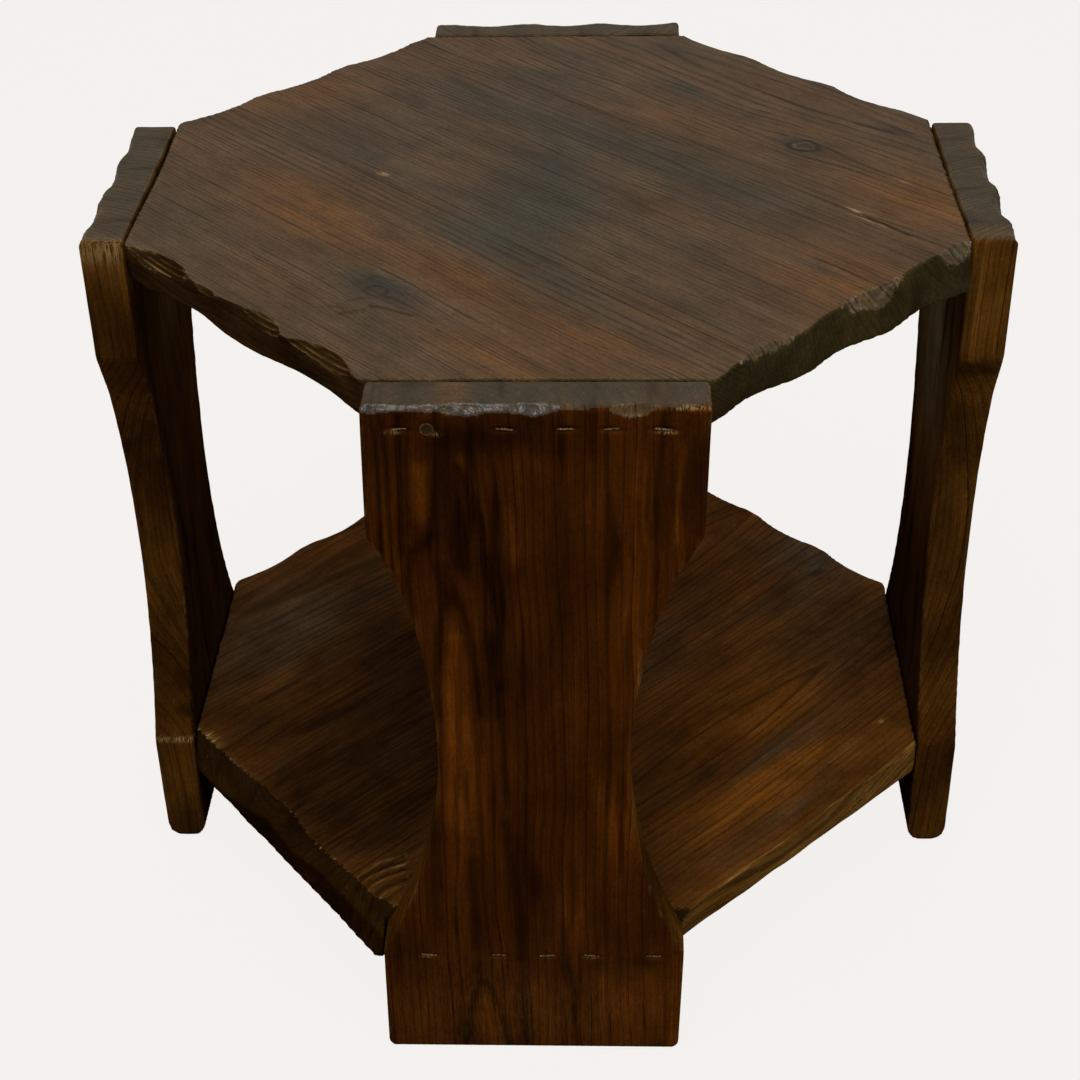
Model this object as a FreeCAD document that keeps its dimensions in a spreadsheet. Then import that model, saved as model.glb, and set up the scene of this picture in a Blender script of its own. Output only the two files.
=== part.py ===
import FreeCAD, Part
import math
import os
import Sketcher

# Octagonal two-tier side table of wide softwood planks with carved, wavy edges.
# X runs to the right, Y away from the viewer and Z up. The origin is on the floor under the middle.
# The front leg stands at -Y. All sizes are in millimetres.

DRIVING_SIZES = {
    # overall
    "table_height": 548,
    "span_x": 648,
    "span_y": 668,
    # plank legs: a square head, a bevel under it, a drawn-in waist and a square foot
    "leg_thickness": 32,
    "head_width": 211,
    "head_depth": 93,
    "bevel_depth": 37,
    "neck_width": 174,
    "waist_width": 130,
    "waist_raise": 14,
    "foot_width": 216,
    "foot_height": 110,
    "front_lean": 11,
    # panels
    "top_thickness": 32,
    "top_reveal": 4,
    "shelf_height": 110,
    "shelf_thickness": 32,
    "shelf_reveal": 5,
    # plank joints: how far inside the nearest leg corner each one runs
    "top_back_right_margin": 13,
    "top_front_left_margin": 37,
    "shelf_back_left_margin": 2,
    "shelf_front_right_margin": 48,
    # carved hollows along the free edges
    "scallop_radius": 85,
    "scallop_depth": 7,
    "scallop_pitch": 84,
    "top_back_right_shift": -14,
    "top_back_left_shift": 8,
    "top_front_left_shift": -10,
    "top_front_right_shift": -6,
    "shelf_back_right_shift": 12,
    "shelf_back_left_shift": 6,
    # dowels inside the plank joints
    "dowel_diameter": 10,
    "dowel_length": 60,
    "dowel_spacing": 150,
    # staples and the nail
    "staple_crown": 12.7,
    "staple_wire": 1.6,
    "staple_bite": 18,
    "staple_inset": 24,
    "nail_head": 9.5,
    "nail_head_depth": 1.5,
    "nail_shank": 3.4,
    "nail_bite": 28,
}

# How far a cutter runs past the faces that it cuts.
CUT_OVERRUN = 5

# Where the staples of a row stand, as shares of the row's half length.
TOP_ROW = (-1.0, -0.23, 0.22, 0.56, 0.93)
SHELF_ROW = (-1.0, -0.40, 0.01, 0.39, 0.92)
NAIL_SHARE = -0.8

# Dowels stand at these multiples of their spacing along a joint.
DOWEL_STEPS = (-1, 0, 1)

# Hollows stand at these multiples of their pitch along an edge.
SCALLOP_STEPS = (-1, 0, 1)

# Each leg faces its own way: the front one as drawn, the others turned about Z.
LEG_TURNS = {"front": 0, "right": 90, "back": 180, "left": 270}

# The four free edges, by the signs of X and Y where they lie.
FREE_EDGES = {
    "back_right": (1, 1),
    "back_left": (-1, 1),
    "front_left": (-1, -1),
    "front_right": (1, -1),
}

# Expressions that several pieces share.
HALF_X = "(dims.span_x / 2 - dims.leg_thickness)"
HALF_Y = "(dims.span_y / 2 - dims.leg_thickness)"
SHOULDER = "(dims.table_height - dims.head_depth)"
NECK = "(dims.table_height - dims.head_depth - dims.bevel_depth)"
WAIST = f"(({NECK} + dims.foot_height) / 2 + dims.waist_raise)"
TOP_BASE = "(dims.table_height - dims.top_thickness)"
SHELF_BASE = "(dims.shelf_height - dims.shelf_thickness)"
TOP_SIDE = "(dims.head_width / 2 + dims.top_reveal)"
SHELF_SIDE = "(dims.foot_width / 2 + dims.shelf_reveal)"
SHELF_LEAN = "(dims.front_lean * (dims.table_height - dims.shelf_height) / dims.table_height)"
REACH = "(dims.span_x + dims.span_y)"

Z_AXIS = FreeCAD.Vector(0, 0, 1)
X_AXIS = FreeCAD.Vector(1, 0, 0)

doc = FreeCAD.newDocument("carved_side_table")
sub_parts = []


def fill_sheet():
    sheet = doc.addObject("Spreadsheet::Sheet", "dims")
    for row, (name, value) in enumerate(DRIVING_SIZES.items(), start=1):
        sheet.set(f"A{row}", name)
        sheet.set(f"B{row}", str(value))
        sheet.setAlias(f"B{row}", name)
    doc.recompute()
    return sheet


sheet = fill_sheet()


def size(expression):
    return float(sheet.evalExpression(expression))


def bind(thing, expressions):
    for path, expression in expressions.items():
        thing.setExpression(path, expression)


def place(thing, x, y, z, turn=0):
    """Turn an object about Z by a fixed angle and bind its place."""
    thing.Placement = FreeCAD.Placement(FreeCAD.Vector(), FreeCAD.Rotation(Z_AXIS, turn))
    bind(thing, {"Placement.Base.x": x, "Placement.Base.y": y, "Placement.Base.z": z})


def place_along_grain(thing, angle, along, across, z):
    """Place an object in the planks' own frame: along the grain, then across it."""
    place(thing, f"{along} * cos({angle}) - {across} * sin({angle})",
          f"{along} * sin({angle}) + {across} * cos({angle})", z)
    thing.setExpression("Placement.Rotation.Angle", angle)


def keep(thing, label):
    thing.Label = label
    sub_parts.append(thing)
    return thing


def box(name, length, width, height):
    solid = doc.addObject("Part::Box", name)
    bind(solid, {"Length": length, "Width": width, "Height": height})
    return solid


def cylinder(name, radius, height):
    solid = doc.addObject("Part::Cylinder", name)
    bind(solid, {"Radius": radius, "Height": height})
    return solid


def group(name, members):
    compound = doc.addObject("Part::Compound", name)
    compound.Links = members
    return compound


def boolean(kind, name, base, tool):
    result = doc.addObject(f"Part::{kind}", name)
    result.Base = base
    result.Tool = tool
    return result


def new_sketch(body, role):
    sketch = body.newObject("Sketcher::SketchObject", f"{body.Name}_sketch")
    plane = next(feature for feature in body.Origin.OriginFeatures if feature.Role == role)
    sketch.AttachmentSupport = [(plane, "")]
    sketch.MapMode = "FlatFace"
    return sketch


def pad(body, sketch, length, side_type="One side"):
    feature = body.newObject("PartDesign::Pad", f"{body.Name}_pad")
    feature.Profile = sketch
    feature.SideType = side_type
    feature.setExpression("Length", length)
    return feature


def bind_point(sketch, edge, end, point):
    """Hold an edge's end at a pair of expressions, measured from the sketch's origin."""
    for kind, expression in zip(("DistanceX", "DistanceY"), point):
        value = size(expression)
        if abs(value) < 1e-9:
            axis = -2 if kind == "DistanceX" else -1
            sketch.addConstraint(Sketcher.Constraint("PointOnObject", edge, end, axis))
        elif value > 0:
            index = sketch.addConstraint(Sketcher.Constraint(kind, -1, 1, edge, end, value))
            sketch.setExpression(f"Constraints[{index}]", expression)
        else:
            index = sketch.addConstraint(Sketcher.Constraint(kind, edge, end, -1, 1, -value))
            sketch.setExpression(f"Constraints[{index}]", f"-({expression})")


def arc_centre(waist_end, other_end):
    """The centre, level with the waist, of the arc that leaves it upright and meets the other end."""
    run = other_end.x - waist_end.x
    rise = other_end.y - waist_end.y
    return FreeCAD.Vector(waist_end.x + (run ** 2 + rise ** 2) / (2 * run), waist_end.y, 0)


def add_arc(sketch, start, end, centre):
    """Add the short arc between two points. Returns the edge and which of its ends is the start."""
    first = math.atan2(start.y - centre.y, start.x - centre.x)
    last = math.atan2(end.y - centre.y, end.x - centre.x)
    circle = Part.Circle(centre, Z_AXIS, start.distanceToPoint(centre))
    if (last - first) % (2 * math.pi) < math.pi:
        return sketch.addGeometry(Part.ArcOfCircle(circle, first, last)), 1
    return sketch.addGeometry(Part.ArcOfCircle(circle, last, first)), 2


def closed_outline(sketch, points, arcs):
    """Draw a closed outline. arcs maps an edge's number to which of its ends (0 or 1) is the waist."""
    places = [FreeCAD.Vector(size(x), size(y), 0) for x, y in points]
    edges = []
    for number, start in enumerate(places):
        end = places[(number + 1) % len(places)]
        if number in arcs:
            ends = (start, end)
            waist_end = ends[arcs[number]]
            other_end = ends[1 - arcs[number]]
            edges.append(add_arc(sketch, start, end, arc_centre(waist_end, other_end)))
        else:
            edges.append((sketch.addGeometry(Part.LineSegment(start, end)), 1))
    for number, (edge, start_end) in enumerate(edges):
        following, following_end = edges[(number + 1) % len(edges)]
        sketch.addConstraint(Sketcher.Constraint("Coincident", edge, 3 - start_end, following, following_end))
        bind_point(sketch, edge, start_end, points[number])
    for number in arcs:
        edge = edges[number][0]
        index = sketch.addConstraint(Sketcher.Constraint("DistanceY", -1, 1, edge, 3, size(WAIST)))
        sketch.setExpression(f"Constraints[{index}]", WAIST)


def turned(turn, across, out):
    """Where a point of the front leg's frame goes on a leg that is turned about Z."""
    return {
        0: (f"{across}", f"-({out})"),
        90: (f"{out}", f"{across}"),
        180: (f"-({across})", f"{out}"),
        270: (f"-({out})", f"-({across})"),
    }[turn]


def half_span(turn):
    return "dims.span_y / 2" if turn in (0, 180) else "dims.span_x / 2"


def leg_blank(name, turn, lean):
    """A leg sawn to its hourglass outline. Its foot stands to the left of its head by the lean."""
    levels = [
        ("0", "dims.foot_width"),
        ("dims.foot_height", "dims.foot_width"),
        (WAIST, "dims.waist_width"),
        (NECK, "dims.neck_width"),
        (SHOULDER, "dims.head_width"),
        ("dims.table_height", "dims.head_width"),
    ]
    right_side = []
    left_side = []
    for level, width in levels:
        drift = f"{lean} * (dims.table_height - {level}) / dims.table_height"
        right_side.append((f"{width} / 2 - {drift}", level))
        left_side.append((f"-{width} / 2 - {drift}", level))
    points = right_side + left_side[::-1]
    body = doc.addObject("PartDesign::Body", f"{name}_blank")
    sketch = new_sketch(body, "XZ_Plane")
    closed_outline(sketch, points, arcs={1: 1, 2: 0, 8: 1, 9: 0})
    pad(body, sketch, "dims.leg_thickness")
    x, y = turned(turn, "0", f"{half_span(turn)} - dims.leg_thickness")
    place(body, x, y, "0", turn)
    return body


def staple(name, turn, across, level):
    """A staple driven through a leg, with its crown flush with the leg's outer face."""
    length = "(dims.leg_thickness + dims.staple_bite)"
    plate = box(f"{name}_plate", "dims.staple_crown", length, "dims.staple_wire")
    gap = box(f"{name}_gap", "dims.staple_crown - 2 * dims.staple_wire", length, "dims.staple_wire")
    low = f"{level} - dims.staple_wire / 2"
    x, y = turned(turn, f"{across} - dims.staple_crown / 2", half_span(turn))
    place(plate, x, y, low, turn)
    x, y = turned(turn, f"{across} - dims.staple_crown / 2 + dims.staple_wire",
                  f"{half_span(turn)} - dims.staple_wire")
    place(gap, x, y, low, turn)
    return boolean("Cut", name, plate, gap)


def staple_row(name, turn, shares, half_row, level):
    members = []
    for number, share in enumerate(shares, start=1):
        members.append(staple(f"{name}_{number}", turn, f"{share} * {half_row}", level))
    return keep(group(name, members), name)


def front_nail(name, half_row, level):
    """A round-headed nail through the front leg into the top."""
    head = cylinder(f"{name}_head", "dims.nail_head / 2", "dims.nail_head_depth")
    shank = cylinder(f"{name}_shank", "dims.nail_shank / 2", "dims.leg_thickness + dims.nail_bite")
    for piece in (head, shank):
        place(piece, f"{NAIL_SHARE} * {half_row}", "-dims.span_y / 2", level)
        piece.Placement.Rotation = FreeCAD.Rotation(X_AXIS, -90)
    return keep(boolean("Fuse", name, head, shank), name)


def octagon(name, base, thickness, side, lean):
    """A panel with eight straight sides: four against the legs and four free ones between them."""
    points = [
        (f"{side} - {lean}", f"-{HALF_Y}"),
        (HALF_X, f"-{side}"),
        (HALF_X, side),
        (side, HALF_Y),
        (f"-{side}", HALF_Y),
        (f"-{HALF_X}", side),
        (f"-{HALF_X}", f"-{side}"),
        (f"-{side} - {lean}", f"-{HALF_Y}"),
    ]
    body = doc.addObject("PartDesign::Body", f"{name}_octagon")
    sketch = new_sketch(body, "XY_Plane")
    closed_outline(sketch, points, arcs={})
    pad(body, sketch, thickness)
    place(body, "0", "0", base)
    return body


def scallops(name, base, thickness, side, lean, edges):
    """Gouge cutters that hollow the free edges into waves."""
    cutters = []
    sink = "(dims.scallop_radius - dims.scallop_depth)"
    for edge in edges:
        right, back = FREE_EDGES[edge]
        corner = f"({right} * {side} - {lean})" if back < 0 else f"({right} * {side})"
        run_x = f"({HALF_X} - {right} * {corner})"
        run_y = f"({HALF_Y} - {side})"
        run = f"sqrt({run_x}^2 + {run_y}^2)"
        for step in SCALLOP_STEPS:
            along = f"({step} * dims.scallop_pitch + dims.{name}_{edge}_shift)"
            x = f"({corner} + {right} * {HALF_X}) / 2 + {right} * ({along} * {run_x} + {sink} * {run_y}) / {run}"
            y = f"{back} * (({HALF_Y} + {side}) / 2 + ({sink} * {run_x} - {along} * {run_y}) / {run})"
            cutter = cylinder(f"{name}_{edge}_scallop_{step + 2}", "dims.scallop_radius",
                              f"{thickness} + 2 * {CUT_OVERRUN}")
            place(cutter, x, y, f"{base} - {CUT_OVERRUN}")
            cutters.append(cutter)
    return group(f"{name}_scallops", cutters)


def dowel_row(name, angle, joint, level):
    """Dowels across one plank joint, half in each plank."""
    body = doc.addObject("PartDesign::Body", name)
    sketch = new_sketch(body, "XZ_Plane")
    for step in DOWEL_STEPS:
        along = f"{step} * dims.dowel_spacing"
        radius = size("dims.dowel_diameter / 2")
        edge = sketch.addGeometry(Part.Circle(FreeCAD.Vector(size(along), 0, 0), Z_AXIS, radius))
        bind_point(sketch, edge, 3, (along, "0"))
        index = sketch.addConstraint(Sketcher.Constraint("Radius", edge, radius))
        sketch.setExpression(f"Constraints[{index}]", "dims.dowel_diameter / 2")
    pad(body, sketch, "dims.dowel_length", "Symmetric")
    place_along_grain(body, angle, "0", joint, level)
    return keep(body, name)


def planked_panel(name, base, thickness, side, lean, scalloped, grain_sign, plank_names, fasteners):
    """Saw the carved octagon into three planks along the grain and dowel them together."""
    slant = f"atan(({HALF_Y} - {side}) / ({HALF_X} - {side}))"
    angle = f"({grain_sign} * {slant})"
    nearest_corner = (f"min({HALF_Y} * cos({slant}) - {side} * sin({slant}); "
                      f"{HALF_X} * sin({slant}) - {side} * cos({slant}))")
    low_name, middle_name, high_name = plank_names
    low_joint = f"(dims.{name}_{low_name}_margin - {nearest_corner})"
    high_joint = f"({nearest_corner} - dims.{name}_{high_name}_margin)"
    carved = boolean("Cut", f"{name}_carved", octagon(name, base, thickness, side, lean),
                     scallops(name, base, thickness, side, lean, scalloped))
    level = f"{base} + {thickness} / 2"
    dowels = [
        dowel_row(f"{name}_dowels_{low_name}", angle, low_joint, level),
        dowel_row(f"{name}_dowels_{high_name}", angle, high_joint, level),
    ]
    cutters = group(f"{name}_joinery", dowels + fasteners)
    strips = {
        low_name: (f"({low_joint} - {REACH})", REACH),
        middle_name: (low_joint, f"{high_joint} - {low_joint}"),
        high_name: (high_joint, REACH),
    }
    for plank, (start, width) in strips.items():
        label = f"{name}_board_{plank}"
        strip = box(f"{label}_strip", f"2 * {REACH}", width, thickness)
        place_along_grain(strip, angle, f"-{REACH}", start, base)
        blank = boolean("Common", f"{label}_blank", carved, strip)
        keep(boolean("Cut", label, blank, cutters), label)


def build_table():
    top_level = f"{TOP_BASE} + dims.top_thickness / 2"
    shelf_level = f"{SHELF_BASE} + dims.shelf_thickness / 2"
    top_half_row = "(dims.head_width / 2 - dims.staple_inset)"
    shelf_half_row = "(dims.foot_width / 2 - dims.staple_inset)"
    top_fasteners = []
    shelf_fasteners = []
    for side, turn in LEG_TURNS.items():
        name = f"{side}_leg"
        lean = "dims.front_lean" if side == "front" else "0"
        top_row = staple_row(f"{name}_top_staples", turn, TOP_ROW, top_half_row, top_level)
        shelf_row = staple_row(f"{name}_shelf_staples", turn, SHELF_ROW, shelf_half_row, shelf_level)
        driven = [top_row, shelf_row]
        if side == "front":
            nail = front_nail("front_leg_nail", top_half_row, top_level)
            driven.append(nail)
            top_fasteners.append(nail)
        keep(boolean("Cut", name, leg_blank(name, turn, lean), group(f"{name}_fasteners", driven)), name)
        top_fasteners.append(top_row)
        shelf_fasteners.append(shelf_row)
    planked_panel("top", TOP_BASE, "dims.top_thickness", TOP_SIDE, "0", list(FREE_EDGES), -1,
                  ("front_left", "middle", "back_right"), top_fasteners)
    planked_panel("shelf", SHELF_BASE, "dims.shelf_thickness", SHELF_SIDE, SHELF_LEAN,
                  ["back_right", "back_left"], 1, ("front_right", "middle", "back_left"), shelf_fasteners)


def check_and_export():
    doc.recompute()
    for thing in doc.Objects:
        if "Invalid" in thing.State or "Error" in thing.State:
            raise RuntimeError(f"{thing.Label} failed: {thing.State}")
    for piece in sub_parts:
        shape = piece.Shape
        if shape.isNull() or not shape.isValid():
            raise RuntimeError(f"{piece.Label} has no valid shape")
    os.makedirs("parts", exist_ok=True)
    for piece in sub_parts:
        piece.Shape.exportStep(f"parts/{piece.Label}.step")
        print(f"{piece.Label}: {len(piece.Shape.Solids)} solids, {piece.Shape.Volume / 1000:.2f} cm3")


build_table()
check_and_export()
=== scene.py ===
import itertools
import math

import bpy
import numpy as np
from mathutils import Matrix, Vector


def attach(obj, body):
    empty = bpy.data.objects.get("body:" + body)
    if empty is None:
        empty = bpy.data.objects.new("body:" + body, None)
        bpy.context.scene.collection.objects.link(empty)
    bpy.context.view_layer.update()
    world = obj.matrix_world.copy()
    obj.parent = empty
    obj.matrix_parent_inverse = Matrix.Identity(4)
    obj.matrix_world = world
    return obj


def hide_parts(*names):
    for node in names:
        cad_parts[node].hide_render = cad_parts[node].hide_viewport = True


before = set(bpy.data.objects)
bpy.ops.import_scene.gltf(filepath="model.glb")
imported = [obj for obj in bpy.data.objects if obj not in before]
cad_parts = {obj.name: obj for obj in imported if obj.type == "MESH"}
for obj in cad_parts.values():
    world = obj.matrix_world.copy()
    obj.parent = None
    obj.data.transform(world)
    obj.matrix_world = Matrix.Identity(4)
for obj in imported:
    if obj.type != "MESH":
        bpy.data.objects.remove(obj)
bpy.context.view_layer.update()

# Sizes of the CAD model in millimetres. The scene itself is in metres.
MM = 0.001
HEIGHT = 548.0
THICK = 32.0
HALF_X = 292.0
HALF_Y = 302.0
HEAD_HALF = 105.5
FOOT_HALF = 108.0
WAIST_HALF = 65.0
NECK_HALF = 87.0
FOOT_TOP = 110.0
WAIST_LEVEL = 278.0
NECK_LEVEL = 418.0
SHOULDER_LEVEL = 455.0
FRONT_LEAN = 11.0
TOP_BASE = 516.0
SHELF_BASE = 78.0
SCALLOP_RADIUS = 85.0
SCALLOP_DEPTH = 7.0
SCALLOP_PITCH = 84.0
STAPLE_CROWN = 12.7
TOP_ROW_LEVEL = 532.0
SHELF_ROW_LEVEL = 94.0
TOP_ROW = (-81.5, -18.7, 17.9, 45.6, 75.8)
SHELF_ROW = (-84.0, -33.6, 0.8, 32.8, 77.3)
NAIL_PLACE = -65.2

# A hair of air between pieces that touch, and how near to a joint a point is snapped onto it
LEG_GAP = 0.5
JOINT_GAP = 0.04
JOINT_REACH = 0.5

# A hair that every face lies under its CAD face, so that relief stays in the CAD box
SKIN = 0.05


# Noise and small field helpers

HASH_PRIMES = (73856093, 19349663, 83492791)
HASH_FACTOR = np.uint64(6364136223846793005)
HASH_STEP = np.uint64(1442695040888963407)
SEED_FACTOR = 7919
SEED_STEP = 17

# A field value where no wood is taken away
UNCUT = -1e3


def hashed(cells, seed):
    """A fixed number between -1 and 1 for each whole-numbered cell."""
    mix = np.uint64(seed * SEED_FACTOR + SEED_STEP)
    for axis, prime in enumerate(HASH_PRIMES):
        mix = mix ^ (cells[:, axis].astype(np.int64).astype(np.uint64) * np.uint64(prime))
        mix = mix * HASH_FACTOR + HASH_STEP
        mix = mix ^ (mix >> np.uint64(29))
    return (mix >> np.uint64(11)).astype(np.float64) / float(1 << 52) - 1.0


def fade(share):
    return share * share * (3.0 - 2.0 * share)


def noise(points, cell, seed):
    """Smooth noise between -1 and 1, with its own cell size along each axis."""
    scaled = points / np.asarray(cell, float)
    base = np.floor(scaled)
    part = fade(scaled - base)
    total = np.zeros(len(points))
    for corner in itertools.product((0, 1), repeat=3):
        weight = np.ones(len(points))
        for axis, side in enumerate(corner):
            weight = weight * (part[:, axis] if side else 1.0 - part[:, axis])
        total += weight * hashed(base + np.array(corner), seed)
    return total


def noise_line(values, cell, seed):
    points = np.zeros((len(values), 3))
    points[:, 0] = values
    return noise(points, (cell, 1.0, 1.0), seed)


def smoothstep(low, high, values):
    return fade(np.clip((values - low) / (high - low), 0.0, 1.0))


def uncut(points):
    return np.full(len(points), UNCUT)


def oval(points, middle, reach, turn=0.0):
    """How far each point of a plank's face lies from a place, counted in reaches along and across."""
    along = points[:, 0] - middle[0]
    across = points[:, 1] - middle[1]
    cosine = math.cos(math.radians(turn))
    sine = math.sin(math.radians(turn))
    return np.hypot((along * cosine + across * sine) / reach[0], (across * cosine - along * sine) / reach[1])


def bump(far):
    """1 in the middle, falling softly to 0 past a distance of 1."""
    return np.exp(-far ** 2)


def stroke(points, path, width):
    """A soft line drawn on a plank's face through the places of a path, 1 in its middle."""
    places = points[:, :2]
    least = np.full(len(points), np.inf)
    for start, end in zip(path[:-1], path[1:]):
        step = np.subtract(end, start)
        share = np.clip((places - start) @ step / (step @ step), 0.0, 1.0)
        away = places - start - share[:, None] * step
        least = np.minimum(least, np.hypot(away[:, 0], away[:, 1]))
    return bump(least / width)


def loop(along, across, reach_along, reach_across, steps=16):
    """The path of an oval."""
    turns = [2 * math.pi * step / steps for step in range(steps + 1)]
    return [(along + reach_along * math.cos(turn), across + reach_across * math.sin(turn)) for turn in turns]


def rounded(side, face, radius):
    """Join a side and a face, both negative inside, with a rounded arris."""
    first = side + radius
    second = face + radius
    outside = np.hypot(np.maximum(first, 0.0), np.maximum(second, 0.0))
    return np.minimum(np.maximum(first, second), 0.0) + outside - radius


def scoop(points, arris, out, up, length, bite, tilt):
    """A round gouge cut into an arris, tilted from out to up, positive where wood is gone."""
    radius = (length ** 2 / 4.0 + bite ** 2) / (2.0 * bite)
    angle = math.radians(tilt)
    course = math.cos(angle) * np.array(out) + math.sin(angle) * np.array(up)
    centre = np.array(arris) + (radius - bite) * course
    return radius - np.linalg.norm(points - centre, axis=1)


# Meshing: a closed quad mesh at the zero level of a field on a rectilinear grid

def graded(low, high, step, fine_step, bands):
    """Places from low to high, closer together inside the bands."""
    places = [low]
    while places[-1] < high:
        fine = any(start <= places[-1] <= end for start, end in bands)
        places.append(places[-1] + (fine_step if fine else step))
    return np.array(places)


def grid_points(axes):
    return np.stack(np.meshgrid(*axes, indexing="ij"), axis=-1).reshape(-1, 3)


def net_points(axes, field, cells):
    """For each cell, the middle of the places where the field changes sign along the cell's edges."""
    total = np.zeros((len(cells), 3))
    hits = np.zeros(len(cells))
    for axis in range(3):
        first, second = [other for other in range(3) if other != axis]
        for step_first, step_second in itertools.product((0, 1), repeat=2):
            start = cells.copy()
            start[:, first] += step_first
            start[:, second] += step_second
            end = start.copy()
            end[:, axis] += 1
            near = field[tuple(start.T)]
            far = field[tuple(end.T)]
            cut = (near < 0) != (far < 0)
            place = np.stack([axes[i][start[cut, i]] for i in range(3)], axis=1)
            gap = axes[axis][end[cut, axis]] - place[:, axis]
            place[:, axis] += gap * near[cut] / (near[cut] - far[cut])
            total[cut] += place
            hits[cut] += 1
    return total / hits[:, None]


def net_quads(inside, number):
    """A quad round each grid edge that leaves the inside, facing out."""
    quads = []
    for axis, (first, second) in enumerate(((1, 2), (2, 0), (0, 1))):
        size = inside.shape[axis]
        lower = np.take(inside, range(size - 1), axis=axis)
        upper = np.take(inside, range(1, size), axis=axis)
        edges = np.argwhere(lower != upper)
        outward = lower[tuple(edges.T)]
        corners = []
        for step_first, step_second in ((-1, -1), (0, -1), (0, 0), (-1, 0)):
            cell = edges.copy()
            cell[:, first] += step_first
            cell[:, second] += step_second
            corners.append(number[tuple(cell.T)])
        faces = np.stack(corners, axis=1)
        faces[~outward] = faces[~outward][:, ::-1]
        quads.append(faces)
    return np.concatenate(quads)


def surface_net(axes, field):
    inside = field < 0
    shape = tuple(size - 1 for size in field.shape)
    count = np.zeros(shape, np.int8)
    for corner in itertools.product((0, 1), repeat=3):
        window = tuple(slice(step, step + size) for step, size in zip(corner, shape))
        count += inside[window]
    mixed = (count > 0) & (count < 8)
    number = np.full(shape, -1)
    number[mixed] = np.arange(mixed.sum())
    points = net_points(axes, field, np.argwhere(mixed))
    return points, net_quads(inside, number)


# Growth rings

# How the rings bend: share of the swing, cells of its noise
RING_BENDS = ((1.0, (150.0, 46.0, 60.0)), (0.3, (48.0, 15.0, 30.0)))

# How the years differ in width: share of the spacing, pitch in spacings
YEAR_SWINGS = ((0.62, 4.3), (0.3, 1.7))

# How softly the rings turn at a crown, and how they close up beside a knot and run on inside it
CROWN_REACH = 30.0
KNOT_PULL = 0.9
KNOT_RIM = (0.9, 1.15)
KNOT_RINGS = 0.98

# The hard late wood of a year: its middle and its reach
LATE_WOOD = (0.72, 0.2)

RING_DEFAULTS = {"swing": 4.0, "knots": (), "crown": 0.0, "slope": 0.0, "tilt": 0.0}


def ring_count(points, rings):
    """How many rings each point lies from the pith. A knot is a place, its reach and its size."""
    along, across, height = points.T
    seed, spacing = rings["seed"], rings["spacing"]
    spread = across
    for number, (share, cell) in enumerate(RING_BENDS):
        spread = spread + share * rings["swing"] * noise(points, cell, seed + number)
    for knot in rings["knots"]:
        near = bump(oval(points, knot[:2], knot[2:4]))
        spread = knot[1] + (spread - knot[1]) * (1.0 - KNOT_PULL * near)
    rise = np.hypot(along - rings["crown"], CROWN_REACH)
    depth = rings["depth"] + rings["slope"] * rise + rings["tilt"] * along + (THICK - height)
    radius = np.hypot(spread - rings["pith"], depth)
    for number, (share, pitch) in enumerate(YEAR_SWINGS):
        radius = radius + share * spacing * noise_line(radius, pitch * spacing, seed + 2 + number)
    count = radius / spacing
    for knot in rings["knots"]:
        far = oval(points, knot[:2], knot[4:])
        inner = 1.0 - smoothstep(*KNOT_RIM, far)
        beside = math.hypot(knot[1] - rings["pith"], rings["depth"] + rings["slope"] * CROWN_REACH) / spacing
        count = count * (1.0 - inner) + inner * (math.floor(beside) + KNOT_RINGS * far)
    return count


def ridge(count):
    """The height of the brushed grain: 1 on the hard late wood, 0 between."""
    part = count - np.floor(count)
    return bump((part - LATE_WOOD[0]) / LATE_WOOD[1])


def growth(**values):
    return {**RING_DEFAULTS, **values}


# Planks: each has its own frame, along the grain, across it and up to its show face

# How the masks of a plank fade, in millimetres: into a cut, off a cut's rim, off an arris, onto a side
CUT_FADE = (-0.6, 0.1)
RIM_REACH = 0.9
ARRIS_REACH = 3.0
SIDE_FADE = (-1.6, -0.9)

# The share of the grain's relief that cuts and sides lose, and the angle of a sharp edge
CUT_CALM = 0.5
SIDE_CALM = 0.8
CREASE = math.radians(34.0)

# The space between the patches of a plank's UV map, in millimetres
MAP_GAP = 4.0


def plank_frame(origin, along, across, up):
    return np.array(origin, float), np.array((along, across, up), float)


def to_world(points, plank):
    origin, axes = plank
    return (points @ axes + origin) * MM


def mirrored(plank):
    return np.linalg.det(plank[1]) < 0


def box_map(mesh, points, quads):
    """A UV map of six flat views, so that each side of a plank keeps its own even patch."""
    low = points.min(axis=0)
    span = points.max(axis=0) - low
    corners = points[quads]
    normal = np.cross(corners[:, 2] - corners[:, 0], corners[:, 3] - corners[:, 1])
    axis = np.abs(normal).argmax(axis=1)
    side = np.take_along_axis(normal, axis[:, None], axis=1)[:, 0] > 0
    flat = corners - low
    places = np.zeros((len(quads), 4, 2))
    offset = MAP_GAP
    for key, first, second in ((2, 0, 1), (1, 0, 2), (0, 1, 2)):
        for facing in (False, True):
            chosen = (axis == key) & (side == facing)
            places[chosen, :, 0] = flat[chosen][:, :, first] + MAP_GAP
            places[chosen, :, 1] = flat[chosen][:, :, second] + offset
            offset += span[second] + MAP_GAP
    scale = max(offset, span[0] + 2 * MAP_GAP, span[1] + 2 * MAP_GAP)
    layer = mesh.uv_layers.new(name="OFBake")
    layer.uv.foreach_set("vector", (places / scale).astype(np.float32).ravel())


def add_attribute(mesh, name, kind, field, values):
    attribute = mesh.attributes.new(name, kind, "POINT")
    attribute.data.foreach_set(field, values.astype(np.float32).ravel())


def add_piece(name, mesh, node):
    piece = bpy.data.objects.new(name, mesh)
    bpy.context.collection.objects.link(piece)
    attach(piece, "root")
    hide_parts(node)


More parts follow.
